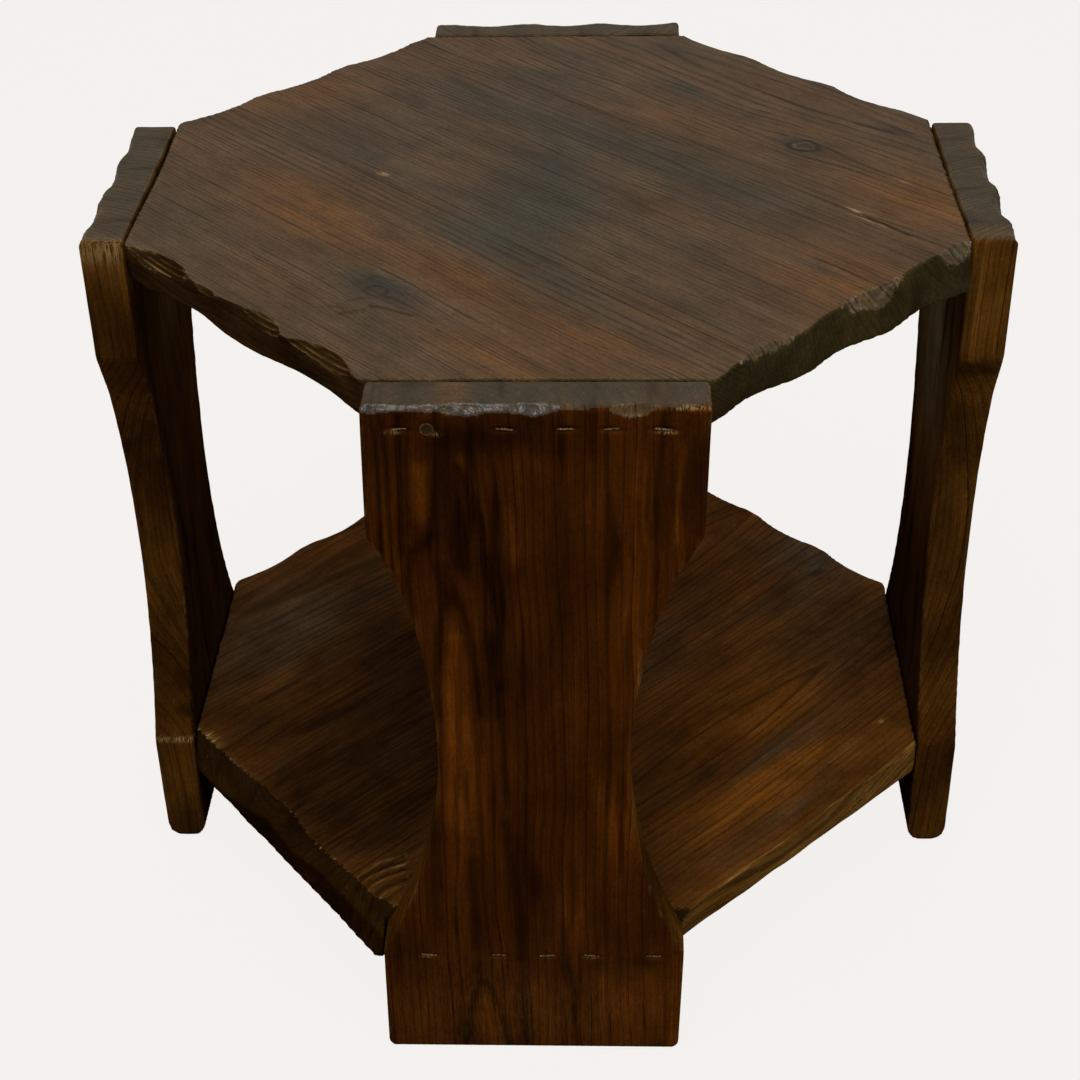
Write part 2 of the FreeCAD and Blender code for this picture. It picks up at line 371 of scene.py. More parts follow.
def close_joints(points, joints):
    """Snap the points beside a joint onto it, and tell which of them lie below the show face."""
    closed = np.zeros(len(points), bool)
    for joint in joints:
        beside = np.abs(points[:, 1] - joint) < JOINT_REACH
        points[beside, 1] = joint
        points[beside & (points[:, 2] > THICK - JOINT_REACH), 2] = THICK
        closed |= beside & (points[:, 2] < THICK - JOINT_REACH)
    return closed


def carve_plank(node, plank, axes, parts, rings, tint, relief, dress, joints=()):
    """Mesh a carved plank, brush its grain into relief and dress it.

    parts gives the sawn blank, the gouge cuts, the dents, and the blank's side and face apart."""
    blank, cuts, dents, side, face = parts(grid_points(axes))
    field = np.maximum(np.maximum(blank, cuts), dents).reshape([len(axis) for axis in axes])
    points, quads = surface_net(axes, field)
    closed = close_joints(points, joints)
    count = ring_count(points, rings)
    blank, cuts, dents, side, face = parts(points)
    masks = {
        "cut": smoothstep(*CUT_FADE, cuts - blank),
        "rim": bump((cuts - blank) / RIM_REACH),
        "edge": np.clip(1.0 + np.minimum(side, face) / ARRIS_REACH, 0.0, 1.0),
        "side": smoothstep(*SIDE_FADE, side),
    }
    if mirrored(plank):
        quads = quads[:, ::-1]
    mesh = bpy.data.meshes.new(f"{node}_carved")
    mesh.from_pydata(to_world(points, plank).tolist(), [], quads.tolist())
    normals = np.zeros(len(points) * 3)
    mesh.vertices.foreach_get("normal", normals)
    normals = normals.reshape(-1, 3) @ plank[1].T
    depth = relief * (1.0 - ridge(count))
    depth *= (1.0 - CUT_CALM * masks["cut"]) * (1.0 - SIDE_CALM * masks["side"])
    depth[closed] = 0.0
    moved = points - normals * (depth[:, None] + SKIN)
    moved[:, 2] = np.clip(moved[:, 2], SKIN, THICK - SKIN)
    mesh.vertices.foreach_set("co", to_world(moved, plank).astype(np.float32).ravel())
    mesh.update()
    shares = np.clip(tint(points, masks), 0.0, 1.0)
    add_attribute(mesh, "ring", "FLOAT", "value", count)
    add_attribute(mesh, "plank", "FLOAT_VECTOR", "vector", points)
    add_attribute(mesh, "tint", "FLOAT_COLOR", "color", np.insert(shares[:, :3], 3, 1.0, axis=1))
    add_attribute(mesh, "stain", "FLOAT", "value", shares[:, 3])
    box_map(mesh, points, quads)
    faced = {key: values[quads].mean(axis=1) for key, values in masks.items()}
    materials, index = dress(points[quads].mean(axis=1), faced, np.abs(normals[quads].mean(axis=1)))
    for material in materials:
        mesh.materials.append(material)
    mesh.polygons.foreach_set("material_index", index.astype(np.int32))
    mesh.polygons.foreach_set("use_smooth", np.ones(len(quads), bool))
    mesh.set_sharp_from_angle(angle=CREASE)
    add_piece(f"{node}_carved", mesh, node)


# Materials

class Nodes:
    """Short calls for building the node tree of a material or a world."""

    def __init__(self, owner):
        owner.use_nodes = True
        self.owner = owner
        self.tree = owner.node_tree
        self.shader = self.tree.nodes.get("Principled BSDF")

    def put(self, value, socket):
        """Link a socket to another, or set its own value."""
        if isinstance(value, bpy.types.NodeSocket):
            self.tree.links.new(value, socket)
        else:
            socket.default_value = value

    def add(self, kind, inputs=None, **settings):
        node = self.tree.nodes.new(kind)
        for key, value in settings.items():
            setattr(node, key, value)
        for key, value in (inputs or {}).items():
            self.put(value, node.inputs[key])
        return node

    def math(self, operation, *values, clamp=False):
        node = self.add("ShaderNodeMath", dict(enumerate(values)), operation=operation, use_clamp=clamp)
        return node.outputs[0]

    def times(self, first, second, clamp=False):
        return self.math("MULTIPLY", first, second, clamp=clamp)

    def fit(self, value, gain, lift, clamp=False):
        return self.math("MULTIPLY_ADD", value, gain, lift, clamp=clamp)

    def swing(self, noise, gain, middle=1.0):
        """A noise between 0 and 1, stretched by a gain round a middle value."""
        return self.fit(noise, gain, middle - 0.5 * gain)

    def attribute(self, name, output="Fac"):
        return self.add("ShaderNodeAttribute", attribute_name=name).outputs[output]

    def noise(self, vector, scale, detail=2.0, roughness=0.5, distortion=0.0):
        """Noise with one scale, or with its own scale along each axis."""
        if isinstance(scale, tuple):
            vector = self.add("ShaderNodeVectorMath", {0: vector, 1: scale}, operation="MULTIPLY").outputs[0]
            scale = 1.0
        node = self.add("ShaderNodeTexNoise", {"Vector": vector, "Scale": scale, "Detail": detail,
                                               "Roughness": roughness, "Distortion": distortion})
        return node.outputs["Fac"]

    def ramp(self, value, stops):
        node = self.add("ShaderNodeValToRGB", {"Fac": value})
        elements = node.color_ramp.elements
        while len(elements) < len(stops):
            elements.new(0.5)
        for element, (place, level) in zip(elements, stops):
            element.position = place
            element.color = (level, level, level, 1.0)
        return node.outputs["Color"]

    def mix(self, share, first, second):
        node = self.add("ShaderNodeMix", data_type="RGBA")
        self.put(share, node.inputs[0])
        for key, value in ((6, first), (7, second)):
            self.put((*value, 1.0) if isinstance(value, tuple) else value, node.inputs[key])
        return node.outputs[2]

    def seen(self):
        """1 for what the camera sees, straight or by way of gloss or glass."""
        path = self.add("ShaderNodeLightPath").outputs
        seen = self.math("MAXIMUM", path["Is Camera Ray"], path["Is Glossy Ray"])
        return self.math("MAXIMUM", seen, path["Is Transmission Ray"])

    def finish(self, colour, rough, relief, bump, depth, gloss):
        """Give the shader its colour, roughness and gloss, and a relief of some depth in millimetres."""
        height = self.add("ShaderNodeBump", {"Height": relief, "Strength": bump, "Distance": depth * MM})
        for key, value in (("Base Color", colour), ("Roughness", rough), ("Specular IOR Level", gloss),
                           ("Normal", height.outputs["Normal"])):
            self.put(value, self.shader.inputs[key])
        return self.owner


# The noises of wood: scales along, across and up per millimetre, detail, roughness, distortion
FIBRE = ((0.016, 0.75, 0.75), 4.0, 0.62)
STREAK = ((0.006, 0.11, 0.11), 3.0, 0.5, 0.4)
MOTTLE = ((0.016, 0.030, 0.030), 4.0, 0.62)
GAPS = ((0.020, 0.16, 0.16),)
GRIT = ((0.35, 0.55, 0.55), 3.0, 0.7)
FLECK = (0.09, 0.9, 0.9)
COARSE_FLAKE = (0.05, 0.26, 0.26)

# Ramps: the dark line of late wood in a year, hair lines beside it, pores, worn flakes. Where lines break.
LATE_LINE = ((0.0, 0.0), (0.5, 0.05), (0.72, 0.65), (0.82, 1.0), (0.9, 0.85), (0.97, 0.0))
HAIR_LINE = ((0.0, 0.0), (0.55, 0.0), (0.8, 1.0), (0.92, 0.7), (1.0, 0.0))
HAIRS_IN_YEAR = 2.7
PORES = ((0.26, 0.55), (0.36, 1.0))
FLAKES = ((0.45, 0.0), (0.55, 1.0))
GAP_PLACES = (0.38, 0.6)
GRAIN_DEPTH = 0.6


def wood_material(name, early, late, warm, cool, wear_and_highlight, contrast=1.0, gloss=0.0, roughness=0.6, bump=0.5,
                  fine=0.3, cloud=1.0, dashed=0.0, flake=FLECK):
    """Dark stained softwood. The rings come with the mesh, the fibres from noise, and stain with painted
    shade and wear with a painted highlight from the mesh's shares, broken up by noise.
    """
    nodes = Nodes(bpy.data.materials.new(name))
    ring = nodes.attribute("ring")
    place = nodes.attribute("plank", "Vector")
    tint = nodes.add("ShaderNodeSeparateColor", {"Color": nodes.attribute("tint", "Color")}).outputs
    fibre = nodes.noise(place, *FIBRE)
    streak = nodes.noise(place, *STREAK)
    mottle = nodes.noise(place, *MOTTLE)
    grit = nodes.noise(place, *GRIT)
    pores = nodes.ramp(nodes.noise(place, FLECK), PORES)
    colour = nodes.mix(nodes.times(tint["Red"], nodes.swing(streak, 1.3, 0.9), True), early, warm)
    colour = nodes.mix(nodes.times(tint["Green"], nodes.swing(mottle, 1.0, 0.95), True), colour, cool)
    phase = nodes.math("FRACT", nodes.math("ADD", ring, nodes.swing(fibre, 0.34, 0.0)))
    year = nodes.add("ShaderNodeTexWhiteNoise", {"W": nodes.math("FLOOR", ring)}, noise_dimensions="1D")
    weight = nodes.times(nodes.fit(year.outputs["Value"], 0.75, 0.3), nodes.fit(mottle, 1.2, 0.4 * contrast))
    gaps = nodes.ramp(nodes.noise(place, *GAPS), tuple(zip(GAP_PLACES, (1.0 - dashed, 1.0))))
    weight = nodes.times(weight, gaps)
    line = nodes.times(nodes.times(nodes.ramp(phase, LATE_LINE), weight), contrast, True)
    hair = nodes.math("FRACT", nodes.fit(ring, HAIRS_IN_YEAR, nodes.times(fibre, 1.1)))
    line = nodes.fit(nodes.ramp(hair, HAIR_LINE), nodes.times(streak, fine), line, True)
    colour = nodes.mix(line, colour, late)
    # Darken toward late wood by the stain share: real stain, and painted shade on the legs' inner faces,
    # under the shelf's bevel and where the front leg shades the shelf
    darkening = nodes.times(nodes.attribute("stain"), nodes.swing(fibre, 1.3, 0.85), True)
    colour = nodes.mix(darkening, colour, late)
    flakes = nodes.fit(nodes.noise(place, flake), 0.6, nodes.times(fibre, 0.4))
    # Pale bare wood where worn, and the painted highlight at the left leg's foot
    colour = nodes.mix(nodes.times(tint["Blue"], nodes.ramp(flakes, FLAKES), True), colour, wear_and_highlight)
    grey = nodes.times(nodes.swing(fibre, 0.8, 0.98), nodes.swing(mottle, cloud))
    grey = nodes.times(grey, nodes.swing(streak, 0.5, 1.01))
    grey = nodes.times(nodes.times(grey, nodes.swing(grit, 1.1, 1.01)), pores)
    toned = nodes.add("ShaderNodeVectorMath", {0: colour, 1: grey}, operation="MULTIPLY").outputs[0]
    rough = nodes.fit(line, -0.06, nodes.swing(fibre, 0.2, roughness), True)
    relief = nodes.fit(line, 0.5, nodes.times(fibre, 0.55))
    relief = nodes.fit(grit, 0.4, nodes.fit(pores, 0.25, relief))
    return nodes.finish(toned, rough, relief, bump, GRAIN_DEPTH, gloss)


# Colours: early wood, late wood, warm patches, cool patches, bare worn wood, which also gives the painted
# highlight on the left leg's foot
# The top's greyish colours are partly its own tone and partly a painted sheen, the grey cast of its satin
# finish seen from above, with little gloss
TOP_WOOD = wood_material("top_wood", (0.075, 0.0485, 0.0272), (0.021, 0.012, 0.0055), (0.136, 0.060, 0.018),
                         (0.042, 0.038, 0.026), (0.34, 0.22, 0.11), contrast=0.95, gloss=0.03,
                         roughness=0.55, fine=0.42, cloud=1.4, dashed=0.8)
TOP_SIDE = wood_material("top_side", (0.040, 0.0185, 0.006), (0.005, 0.0021, 0.0007), (0.120, 0.058, 0.016),
                         (0.014, 0.007, 0.003), (0.26, 0.15, 0.05), contrast=0.6, fine=0.45, cloud=2.4)
TOP_SPLIT = wood_material("top_split", (0.017, 0.0080, 0.0025), (0.205, 0.114, 0.038), (0.045, 0.022, 0.006),
                          (0.010, 0.005, 0.002), (0.34, 0.22, 0.09), contrast=1.2, fine=0.1, cloud=2.2,
                          dashed=0.95)
TOP_END = wood_material("top_end", (0.036, 0.027, 0.0105), (0.010, 0.0072, 0.0024), (0.072, 0.046, 0.015),
                        (0.022, 0.018, 0.007), (0.24, 0.16, 0.07), contrast=0.5, cloud=1.6)
TOP_CHIP = wood_material("top_chip", (0.078, 0.056, 0.029), (0.016, 0.011, 0.005), (0.120, 0.072, 0.026),
                         (0.034, 0.028, 0.017), (0.30, 0.22, 0.13), gloss=0.05, roughness=0.3, bump=0.6,
                         cloud=1.6)
TOP_GLEAM = wood_material("top_gleam", (0.090, 0.068, 0.040), (0.024, 0.017, 0.009), (0.130, 0.080, 0.032),
                          (0.040, 0.034, 0.022), (0.34, 0.26, 0.16), gloss=0.2, roughness=0.18, bump=0.6,
                          cloud=1.6)
SHELF_WOOD = wood_material("shelf_wood", (0.105, 0.0390, 0.0082), (0.0110, 0.0044, 0.0012),
                           (0.240, 0.084, 0.0106), (0.080, 0.061, 0.0340), (0.40, 0.235, 0.064),
                           contrast=0.6, gloss=0.004, fine=0.4, cloud=2.0)
SHELF_SIDE = wood_material("shelf_side", (0.150, 0.066, 0.0118), (0.018, 0.0072, 0.0015),
                           (0.330, 0.160, 0.036), (0.026, 0.013, 0.004), (0.60, 0.36, 0.105),
                           contrast=0.8, fine=0.8, cloud=2.0, flake=COARSE_FLAKE)
SHELF_END = wood_material("shelf_end", (0.030, 0.0140, 0.0024), (0.0075, 0.0020, 0.0005),
                          (0.085, 0.045, 0.010), (0.010, 0.004, 0.0015), (0.36, 0.25, 0.11),
                          contrast=0.5, cloud=1.7)
LEG_WOOD = wood_material("leg_wood", (0.050, 0.0136, 0.0014), (0.010, 0.0028, 0.0004), (0.145, 0.040, 0.0032),
                         (0.012, 0.0040, 0.001), (0.30, 0.17, 0.06), contrast=0.62, gloss=0.003, fine=0.42,
                         cloud=1.7)
LEG_SIDE = wood_material("leg_side", (0.067, 0.0245, 0.0034), (0.012, 0.0040, 0.0007), (0.150, 0.062, 0.010),
                         (0.016, 0.0076, 0.0018), (0.34, 0.22, 0.09), contrast=0.65, fine=0.6, cloud=2.2)
# On the inner faces the pale cool colour is a painted sheen, the grey gloss near the top of the right leg's
# inner face
LEG_INSIDE = wood_material("leg_inside", (0.068, 0.0262, 0.0055), (0.012, 0.0045, 0.001),
                           (0.170, 0.064, 0.0095), (0.310, 0.230, 0.105), (0.20, 0.11, 0.04),
                           contrast=0.6, cloud=1.4)
LEG_CUT = wood_material("leg_cut", (0.056, 0.038, 0.021), (0.016, 0.010, 0.005), (0.120, 0.062, 0.022),
                        (0.030, 0.025, 0.018), (0.40, 0.32, 0.22), gloss=0.22, roughness=0.15)
LEG_SPLIT = wood_material("leg_split", (0.076, 0.045, 0.021), (0.016, 0.008, 0.003), (0.110, 0.050, 0.018),
                          (0.030, 0.020, 0.012), (0.34, 0.24, 0.12), contrast=0.8, gloss=0.04, roughness=0.3)
LEG_END = wood_material("leg_end", (0.047, 0.035, 0.0195), (0.022, 0.015, 0.008), (0.105, 0.048, 0.019),
                        (0.038, 0.032, 0.0215), (0.30, 0.20, 0.10), contrast=0.4, gloss=0.03, roughness=0.5)
LEG_HEAD = wood_material("leg_head", (0.054, 0.038, 0.021), (0.018, 0.011, 0.005), (0.110, 0.064, 0.022),
                         (0.044, 0.036, 0.022), (0.34, 0.24, 0.12), contrast=0.8, gloss=0.03, roughness=0.5,
                         bump=0.9)


# The two panels

FREE_SHIFTS = {
    "top": {"front_right": -6.0, "back_right": -14.0, "back_left": 8.0, "front_left": -10.0},
    "shelf": {"back_right": 12.0, "back_left": 6.0},
}
EDGE_NAMES = ("front_right", "right_leg", "back_right", "back_leg",
              "back_left", "left_leg", "front_left", "front_leg")

# Free edges: the share of a scallop's depth at the top and the foot, and how far the foot is cut under
HOLLOW_TOP = 0.65
HOLLOW_FOOT = 1.15
UNDERCUT = {("top", "back_left"): 4.0, ("top", "back_right"): 2.0}

# The foot lines of the front edges: how far inward at a datum, change per mm, swing, its crest, its pitch
FOOT_DATUM = 100.0
FOOT_LINES = {
    ("top", "front_left"): (9.6, 0.0, 3.0, 130.0, 135.0),
    ("top", "front_right"): (1.2, -0.04, 3.0, 85.0, 85.0),
    ("shelf", "front_left"): (-5.4, -0.060, 0.0, 0.0, 1.0),
    ("shelf", "front_right"): (4.7, -0.015, 0.0, 0.0, 1.0),
}

# The bevelled edge of the shelf: how far inward at its two ends, where it changes, and how far
# down at places from its start
BEVELLED = ("shelf", "front_left")
BEVEL_INWARD = (9.5, 3.0)
BEVEL_CHANGE = (125.0, 160.0)
BEVEL_PLACES = (0.0, 36.0, 73.0, 105.0, 142.0, 174.0, 210.0)
BEVEL_DEPTHS = (30.0, 29.0, 21.0, 12.5, 18.5, 13.5, 15.0)

# The bevelled edge lies beyond this place along its planks, and starts at this place across them
BEVEL_SIDE = -240.0
BEVEL_START = 134.2

# Grooves beside the tongues of raw wood at the end of the bevelled edge: width, depth, path along and across
GROOVE_REACH = 20.0
GROOVES = {
    "shelf": ((2.0, 1.6, ((-299, -91), (-289, -86.5), (-272, -88), (-256, -94))),
              (2.0, 1.8, ((-301, -98), (-288, -94), (-274, -96), (-260, -102))),
              (2.2, 2.0, ((-302, -107), (-286, -105.5), (-268, -110))),
              (2.2, 2.2, ((-302, -117), (-288, -117), (-276, -120)))),
}

# Gouge cuts along the panels' free edges: place from the edge's start, length, bite, tilt
SCOOPS = {
    ("top", "front_left"): ((44, 80, 11.0, 28), (96, 34, 4.0, 44), (157, 56, 9.5, 28), (224, 70, 11.0, 28)),
    ("top", "front_right"): ((48, 58, 8.0, 36), (150, 66, 8.0, 34), (186, 30, 3.5, 45), (246, 44, 6.0, 38)),
    ("shelf", "front_left"): ((30, 46, 3.0, 40), (70, 30, 2.4, 45), (258, 44, 8.0, 40)),
    ("shelf", "front_right"): ((60, 60, 1.4, 50), (150, 80, 1.2, 50), (262, 30, 3.0, 45)),
}

# Places where a joint or a leg's joint stands open: place along it, reach, width
SHUT = (0.0, 1.0, 0.0)
JOINT_OPENINGS = {("top", 1): (212.0, 24.0, 0.8)}
LEG_OPENINGS = {("top", "left_leg"): (95.0, 60.0, 1.9), ("top", "right_leg"): (120.0, 70.0, 0.8),
                ("top", "front_leg"): (100.0, 40.0, 0.5)}

# The corner of the shelf beside the front leg: how far it runs on past the leg's inner face, where it ends
LEG_OVERRUNS = {("shelf", "front_leg"): (18.0, 3.6)}

# Noises along the edges: cells along, across and up, and a seed
WAVER = ((26.0, 26.0, 40.0), 31)
CHATTER = ((30.0, 30.0, 30.0), 57)
FLUTES = ((3.6, 3.6, 16.0), 77)
WAVER_DEPTH = 0.6
FLUTE_DEPTH = 1.5

# Soft wood is lost between the rings at an upper arris: from where up, and how deep by kind of edge
TEETH_RISE = (0.62, 1.0)
LEG_TEETH = 0.9
END_TEETH = 1.1
SIDE_TEETH = 0.3

# The bevel's roughness: its share of the chatter, the flutes and the teeth
BEVEL_ROUGH = (0.6, 0.35, 0.9)

# An edge this square to the grain shows end grain
END_GRAIN = 0.9

# How far inside and outside the CAD outline an edge can reach, and how round a board's arris is
CARVED_BAND = 28.0
FLARED_BAND = 22.0
BOARD_ARRIS = 1.6

# The grid of a board: margin, steps along and across, both also close to ends, knots and joints, and levels
GRID_MARGIN = 3.0
ALONG_STEPS = (4.0, 1.8)
ACROSS_STEPS = (1.5, 0.45)
END_BAND = 34.0
JOINT_BAND = 2.2
LEVELS = (-1.5, -0.5, 0.5, 2.0, 4.0, 7.0, 10.0, 13.0, 16.0, 18.5, 20.5, 22.5, 24.5, 26.2, 27.8, 29.2, 30.3,
          31.2, 31.8, 32.3, 33.2)


class Panel:
    """An octagon of planks, seen in its planks' frame."""

    def __init__(self, name, base, side, lean, sign, margins):
        self.name = name
        slant = math.atan((HALF_Y - side) / (HALF_X - side))
        corner = min(HALF_Y * math.cos(slant) - side * math.sin(slant),
                     HALF_X * math.sin(slant) - side * math.cos(slant))
        self.joints = (margins[0] - corner, corner - margins[1])
        along = np.array((math.cos(slant), sign * math.sin(slant)))
        across = np.array((-along[1], along[0]))
        self.frame = plank_frame((0, 0, base), (*along, 0), (*across, 0), (0, 0, 1))
        places = [(side - lean, -HALF_Y), (HALF_X, -side), (HALF_X, side), (side, HALF_Y),
                  (-side, HALF_Y), (-HALF_X, side), (-HALF_X, -side), (-side - lean, -HALF_Y)]
        self.corners = np.array(places) @ np.stack((along, across), axis=1)
        self.edges = {}
        for number, edge in enumerate(EDGE_NAMES):
            start = self.corners[number]
            step = self.corners[(number + 1) % len(places)] - start
            run = np.linalg.norm(step)
            course = step / run
            self.edges[edge] = (start, course, np.array((course[1], -course[0])), run)


def hollows(along, shift):
    """The depth of three scallops side by side."""
    depth = np.zeros(len(along))
    for step in (-1, 0, 1):
        off = along - step * SCALLOP_PITCH - shift
        bow = np.sqrt(np.maximum(SCALLOP_RADIUS ** 2 - off ** 2, 0.0)) - (SCALLOP_RADIUS - SCALLOP_DEPTH)
        depth = np.maximum(depth, bow)
    return depth


def leg_edge(key, offset, place, teeth):
    """The side of a panel that stands against a leg."""
    middle, reach, width = LEG_OPENINGS.get(key, SHUT)
    against = offset + LEG_GAP + LEG_TEETH * teeth + width * bump((place - middle) / reach)
    if key in LEG_OVERRUNS:
        overrun, end = LEG_OVERRUNS[key]
        against = np.minimum(against, np.maximum(offset - overrun, place - end))
    return against


def bevel(offset, place, height):
    """The plane of the bevelled edge, positive where wood is gone."""
    inward = BEVEL_INWARD[0] + (BEVEL_INWARD[1] - BEVEL_INWARD[0]) * smoothstep(*BEVEL_CHANGE, place)
    down = np.interp(place, BEVEL_PLACES, BEVEL_DEPTHS)
    return (offset * down + (height - THICK + down) * inward) / np.hypot(inward, down)


def edge_shape(panel, points, rings):
    """The sides of a panel and the gouge cuts in them, for points near its outline."""
    height = points[:, 2]
    rise = height / THICK
    teeth = (1.0 - ridge(ring_count(points, rings))) * smoothstep(*TEETH_RISE, rise)
    waver = WAVER_DEPTH * (1.0 + noise(points, *WAVER))
    chatter = noise(points, *CHATTER)
    flutes = FLUTE_DEPTH * noise(points, *FLUTES)
    side = uncut(points)
    cuts = uncut(points)
    for name, (start, course, out, run) in panel.edges.items():
        key = (panel.name, name)
        offset = (points[:, :2] - start) @ out
        place = (points[:, :2] - start) @ course
        if name.endswith("leg"):
            side = np.maximum(side, leg_edge(key, offset, place, teeth))
            continue
        end_grain = abs(out[0]) > END_GRAIN
        hollow = np.zeros(len(points))
        if name in FREE_SHIFTS[panel.name]:
            toward = place - run / 2 if name in ("front_right", "back_left") else run / 2 - place
            hollow = hollows(toward, FREE_SHIFTS[panel.name][name])
        foot = HOLLOW_FOOT * hollow + UNDERCUT.get(key, 0.0)
        if key in FOOT_LINES:
            inward, change, swing, crest, pitch = FOOT_LINES[key]
            wave = np.cos(2 * math.pi * (place - crest) / pitch)
            foot = inward + change * (place - FOOT_DATUM) - swing * wave
        bitten = END_TEETH if end_grain and name.startswith("front") else SIDE_TEETH
        offset = offset + waver + bitten * teeth
        offset = offset + HOLLOW_TOP * hollow * rise + foot * (1.0 - rise)
        side = np.maximum(side, offset)
        if key == BEVELLED:
            rough = np.stack((chatter, flutes, teeth), axis=1) @ BEVEL_ROUGH
            cuts = np.maximum(cuts, bevel(offset, place, height) + rough)
        for middle, length, bite, tilt in SCOOPS.get(key, ()):
            arris = (*(start + course * middle), THICK)
            gone = scoop(points, arris, (*out, 0.0), (0.0, 0.0, 1.0), length, bite, tilt)
            cuts = np.maximum(cuts, gone + (flutes if end_grain else 0.0))
    return side, cuts


def panel_parts(panel, low, high, rings):
    """The shape of one plank of a panel, between two joints."""
    joints = [(place, sign) for place, sign in ((low, -1.0), (high, 1.0)) if place is not None]

    def parts(points):
        along, across, height = points.T
        offsets = [(points[:, :2] - start) @ out for start, _, out, _ in panel.edges.values()]
        side = np.max(offsets, axis=0)
        cuts = uncut(points)
        near = (side > -CARVED_BAND) & (side < FLARED_BAND)
        side[near], cuts[near] = edge_shape(panel, points[near], rings)
        face = np.maximum(height - THICK, -height)
        blank = rounded(side, face, BOARD_ARRIS)
        for place, sign in joints:
            middle, reach, width = JOINT_OPENINGS.get((panel.name, panel.joints.index(place)), SHUT)
            strip = (across - place) * sign + JOINT_GAP + width * np.exp(-((along - middle) / reach) ** 4)
            blank = np.maximum(blank, strip)
        dents = uncut(points)
        for width, depth, path in GROOVES.get(panel.name, ()):
            near = (along < BEVEL_SIDE) & (np.abs(across - path[0][1]) < GROOVE_REACH)
            gone = height[near] - THICK + depth * stroke(points[near], path, width)
            dents[near] = np.maximum(dents[near], gone)
        return blank, cuts, dents, side, face

    return parts


def panel_axes(panel, low, high, rings):
    """The grid of one plank of a panel, closer at its ends, knots and joints."""
    reach, width = np.abs(panel.corners).max(axis=0)
    start = (low if low is not None else -width) - GRID_MARGIN
    end = (high if high is not None else width) + GRID_MARGIN
    joints = [(joint - JOINT_BAND, joint + JOINT_BAND) for joint in (low, high) if joint is not None]
    fine = [(knot[0] - knot[4] - GRID_MARGIN, knot[0] + knot[4] + GRID_MARGIN) for knot in rings["knots"]]
    fine += [(-reach - FLARED_BAND, -reach + END_BAND), (reach - END_BAND, reach + GRID_MARGIN)]
    return (graded(-reach - FLARED_BAND, reach + GRID_MARGIN, *ALONG_STEPS, fine),
            graded(start, end, *ACROSS_STEPS, joints),
            np.array(LEVELS))


TOP = Panel("top", TOP_BASE, HEAD_HALF + 4.0, 0.0, -1, (37.0, 13.0))
SHELF = Panel("shelf", SHELF_BASE, FOOT_HALF + 5.0, FRONT_LEAN * (HEIGHT - FOOT_TOP) / HEIGHT, 1, (48.0, 2.0))

# Where the pith lies and how the rings run. A knot: place along and across, reach of its swirl, its size
RINGS = {
    "top_board_front_left": growth(seed=11, pith=40.0, depth=200.0, spacing=2.9, swing=3.0,
                                   knots=((55, -200, 34, 12, 8, 4.5), (60, -238, 14, 6, 7, 3))),
    "top_board_middle": growth(seed=23, pith=185.0, depth=60.0, slope=0.02, spacing=4.2, swing=4.5,
                               crown=10.0, knots=((0, 106, 30, 9, 5, 3),)),
    "top_board_back_right": growth(seed=37, pith=252.0, depth=36.0, slope=0.03, spacing=5.6, swing=7.0,
                                   knots=((90, 178, 42, 17, 10, 9.5),)),
    "shelf_board_front_right": growth(seed=41, pith=-170.0, depth=26.0, slope=0.03, spacing=4.6),
    "shelf_board_middle": growth(seed=53, pith=30.0, depth=24.0, slope=0.05, spacing=5.0,
                                 knots=((250, -70, 22, 8, 8, 4),)),
    "shelf_board_back_left": growth(seed=61, pith=240.0, depth=40.0, slope=0.03, spacing=5.0),
    "front_leg": growth(seed=71, pith=-50.0, depth=9.8, tilt=0.018, spacing=6.2, swing=5.0),
    "right_leg": growth(seed=83, pith=-230.0, depth=80.0, tilt=0.04, spacing=3.7),
    "back_leg": growth(seed=97, pith=20.0, depth=18.0, tilt=0.03, spacing=5.4),
    "left_leg": growth(seed=101, pith=210.0, depth=50.0, tilt=0.03, spacing=4.8, swing=5.0),
}

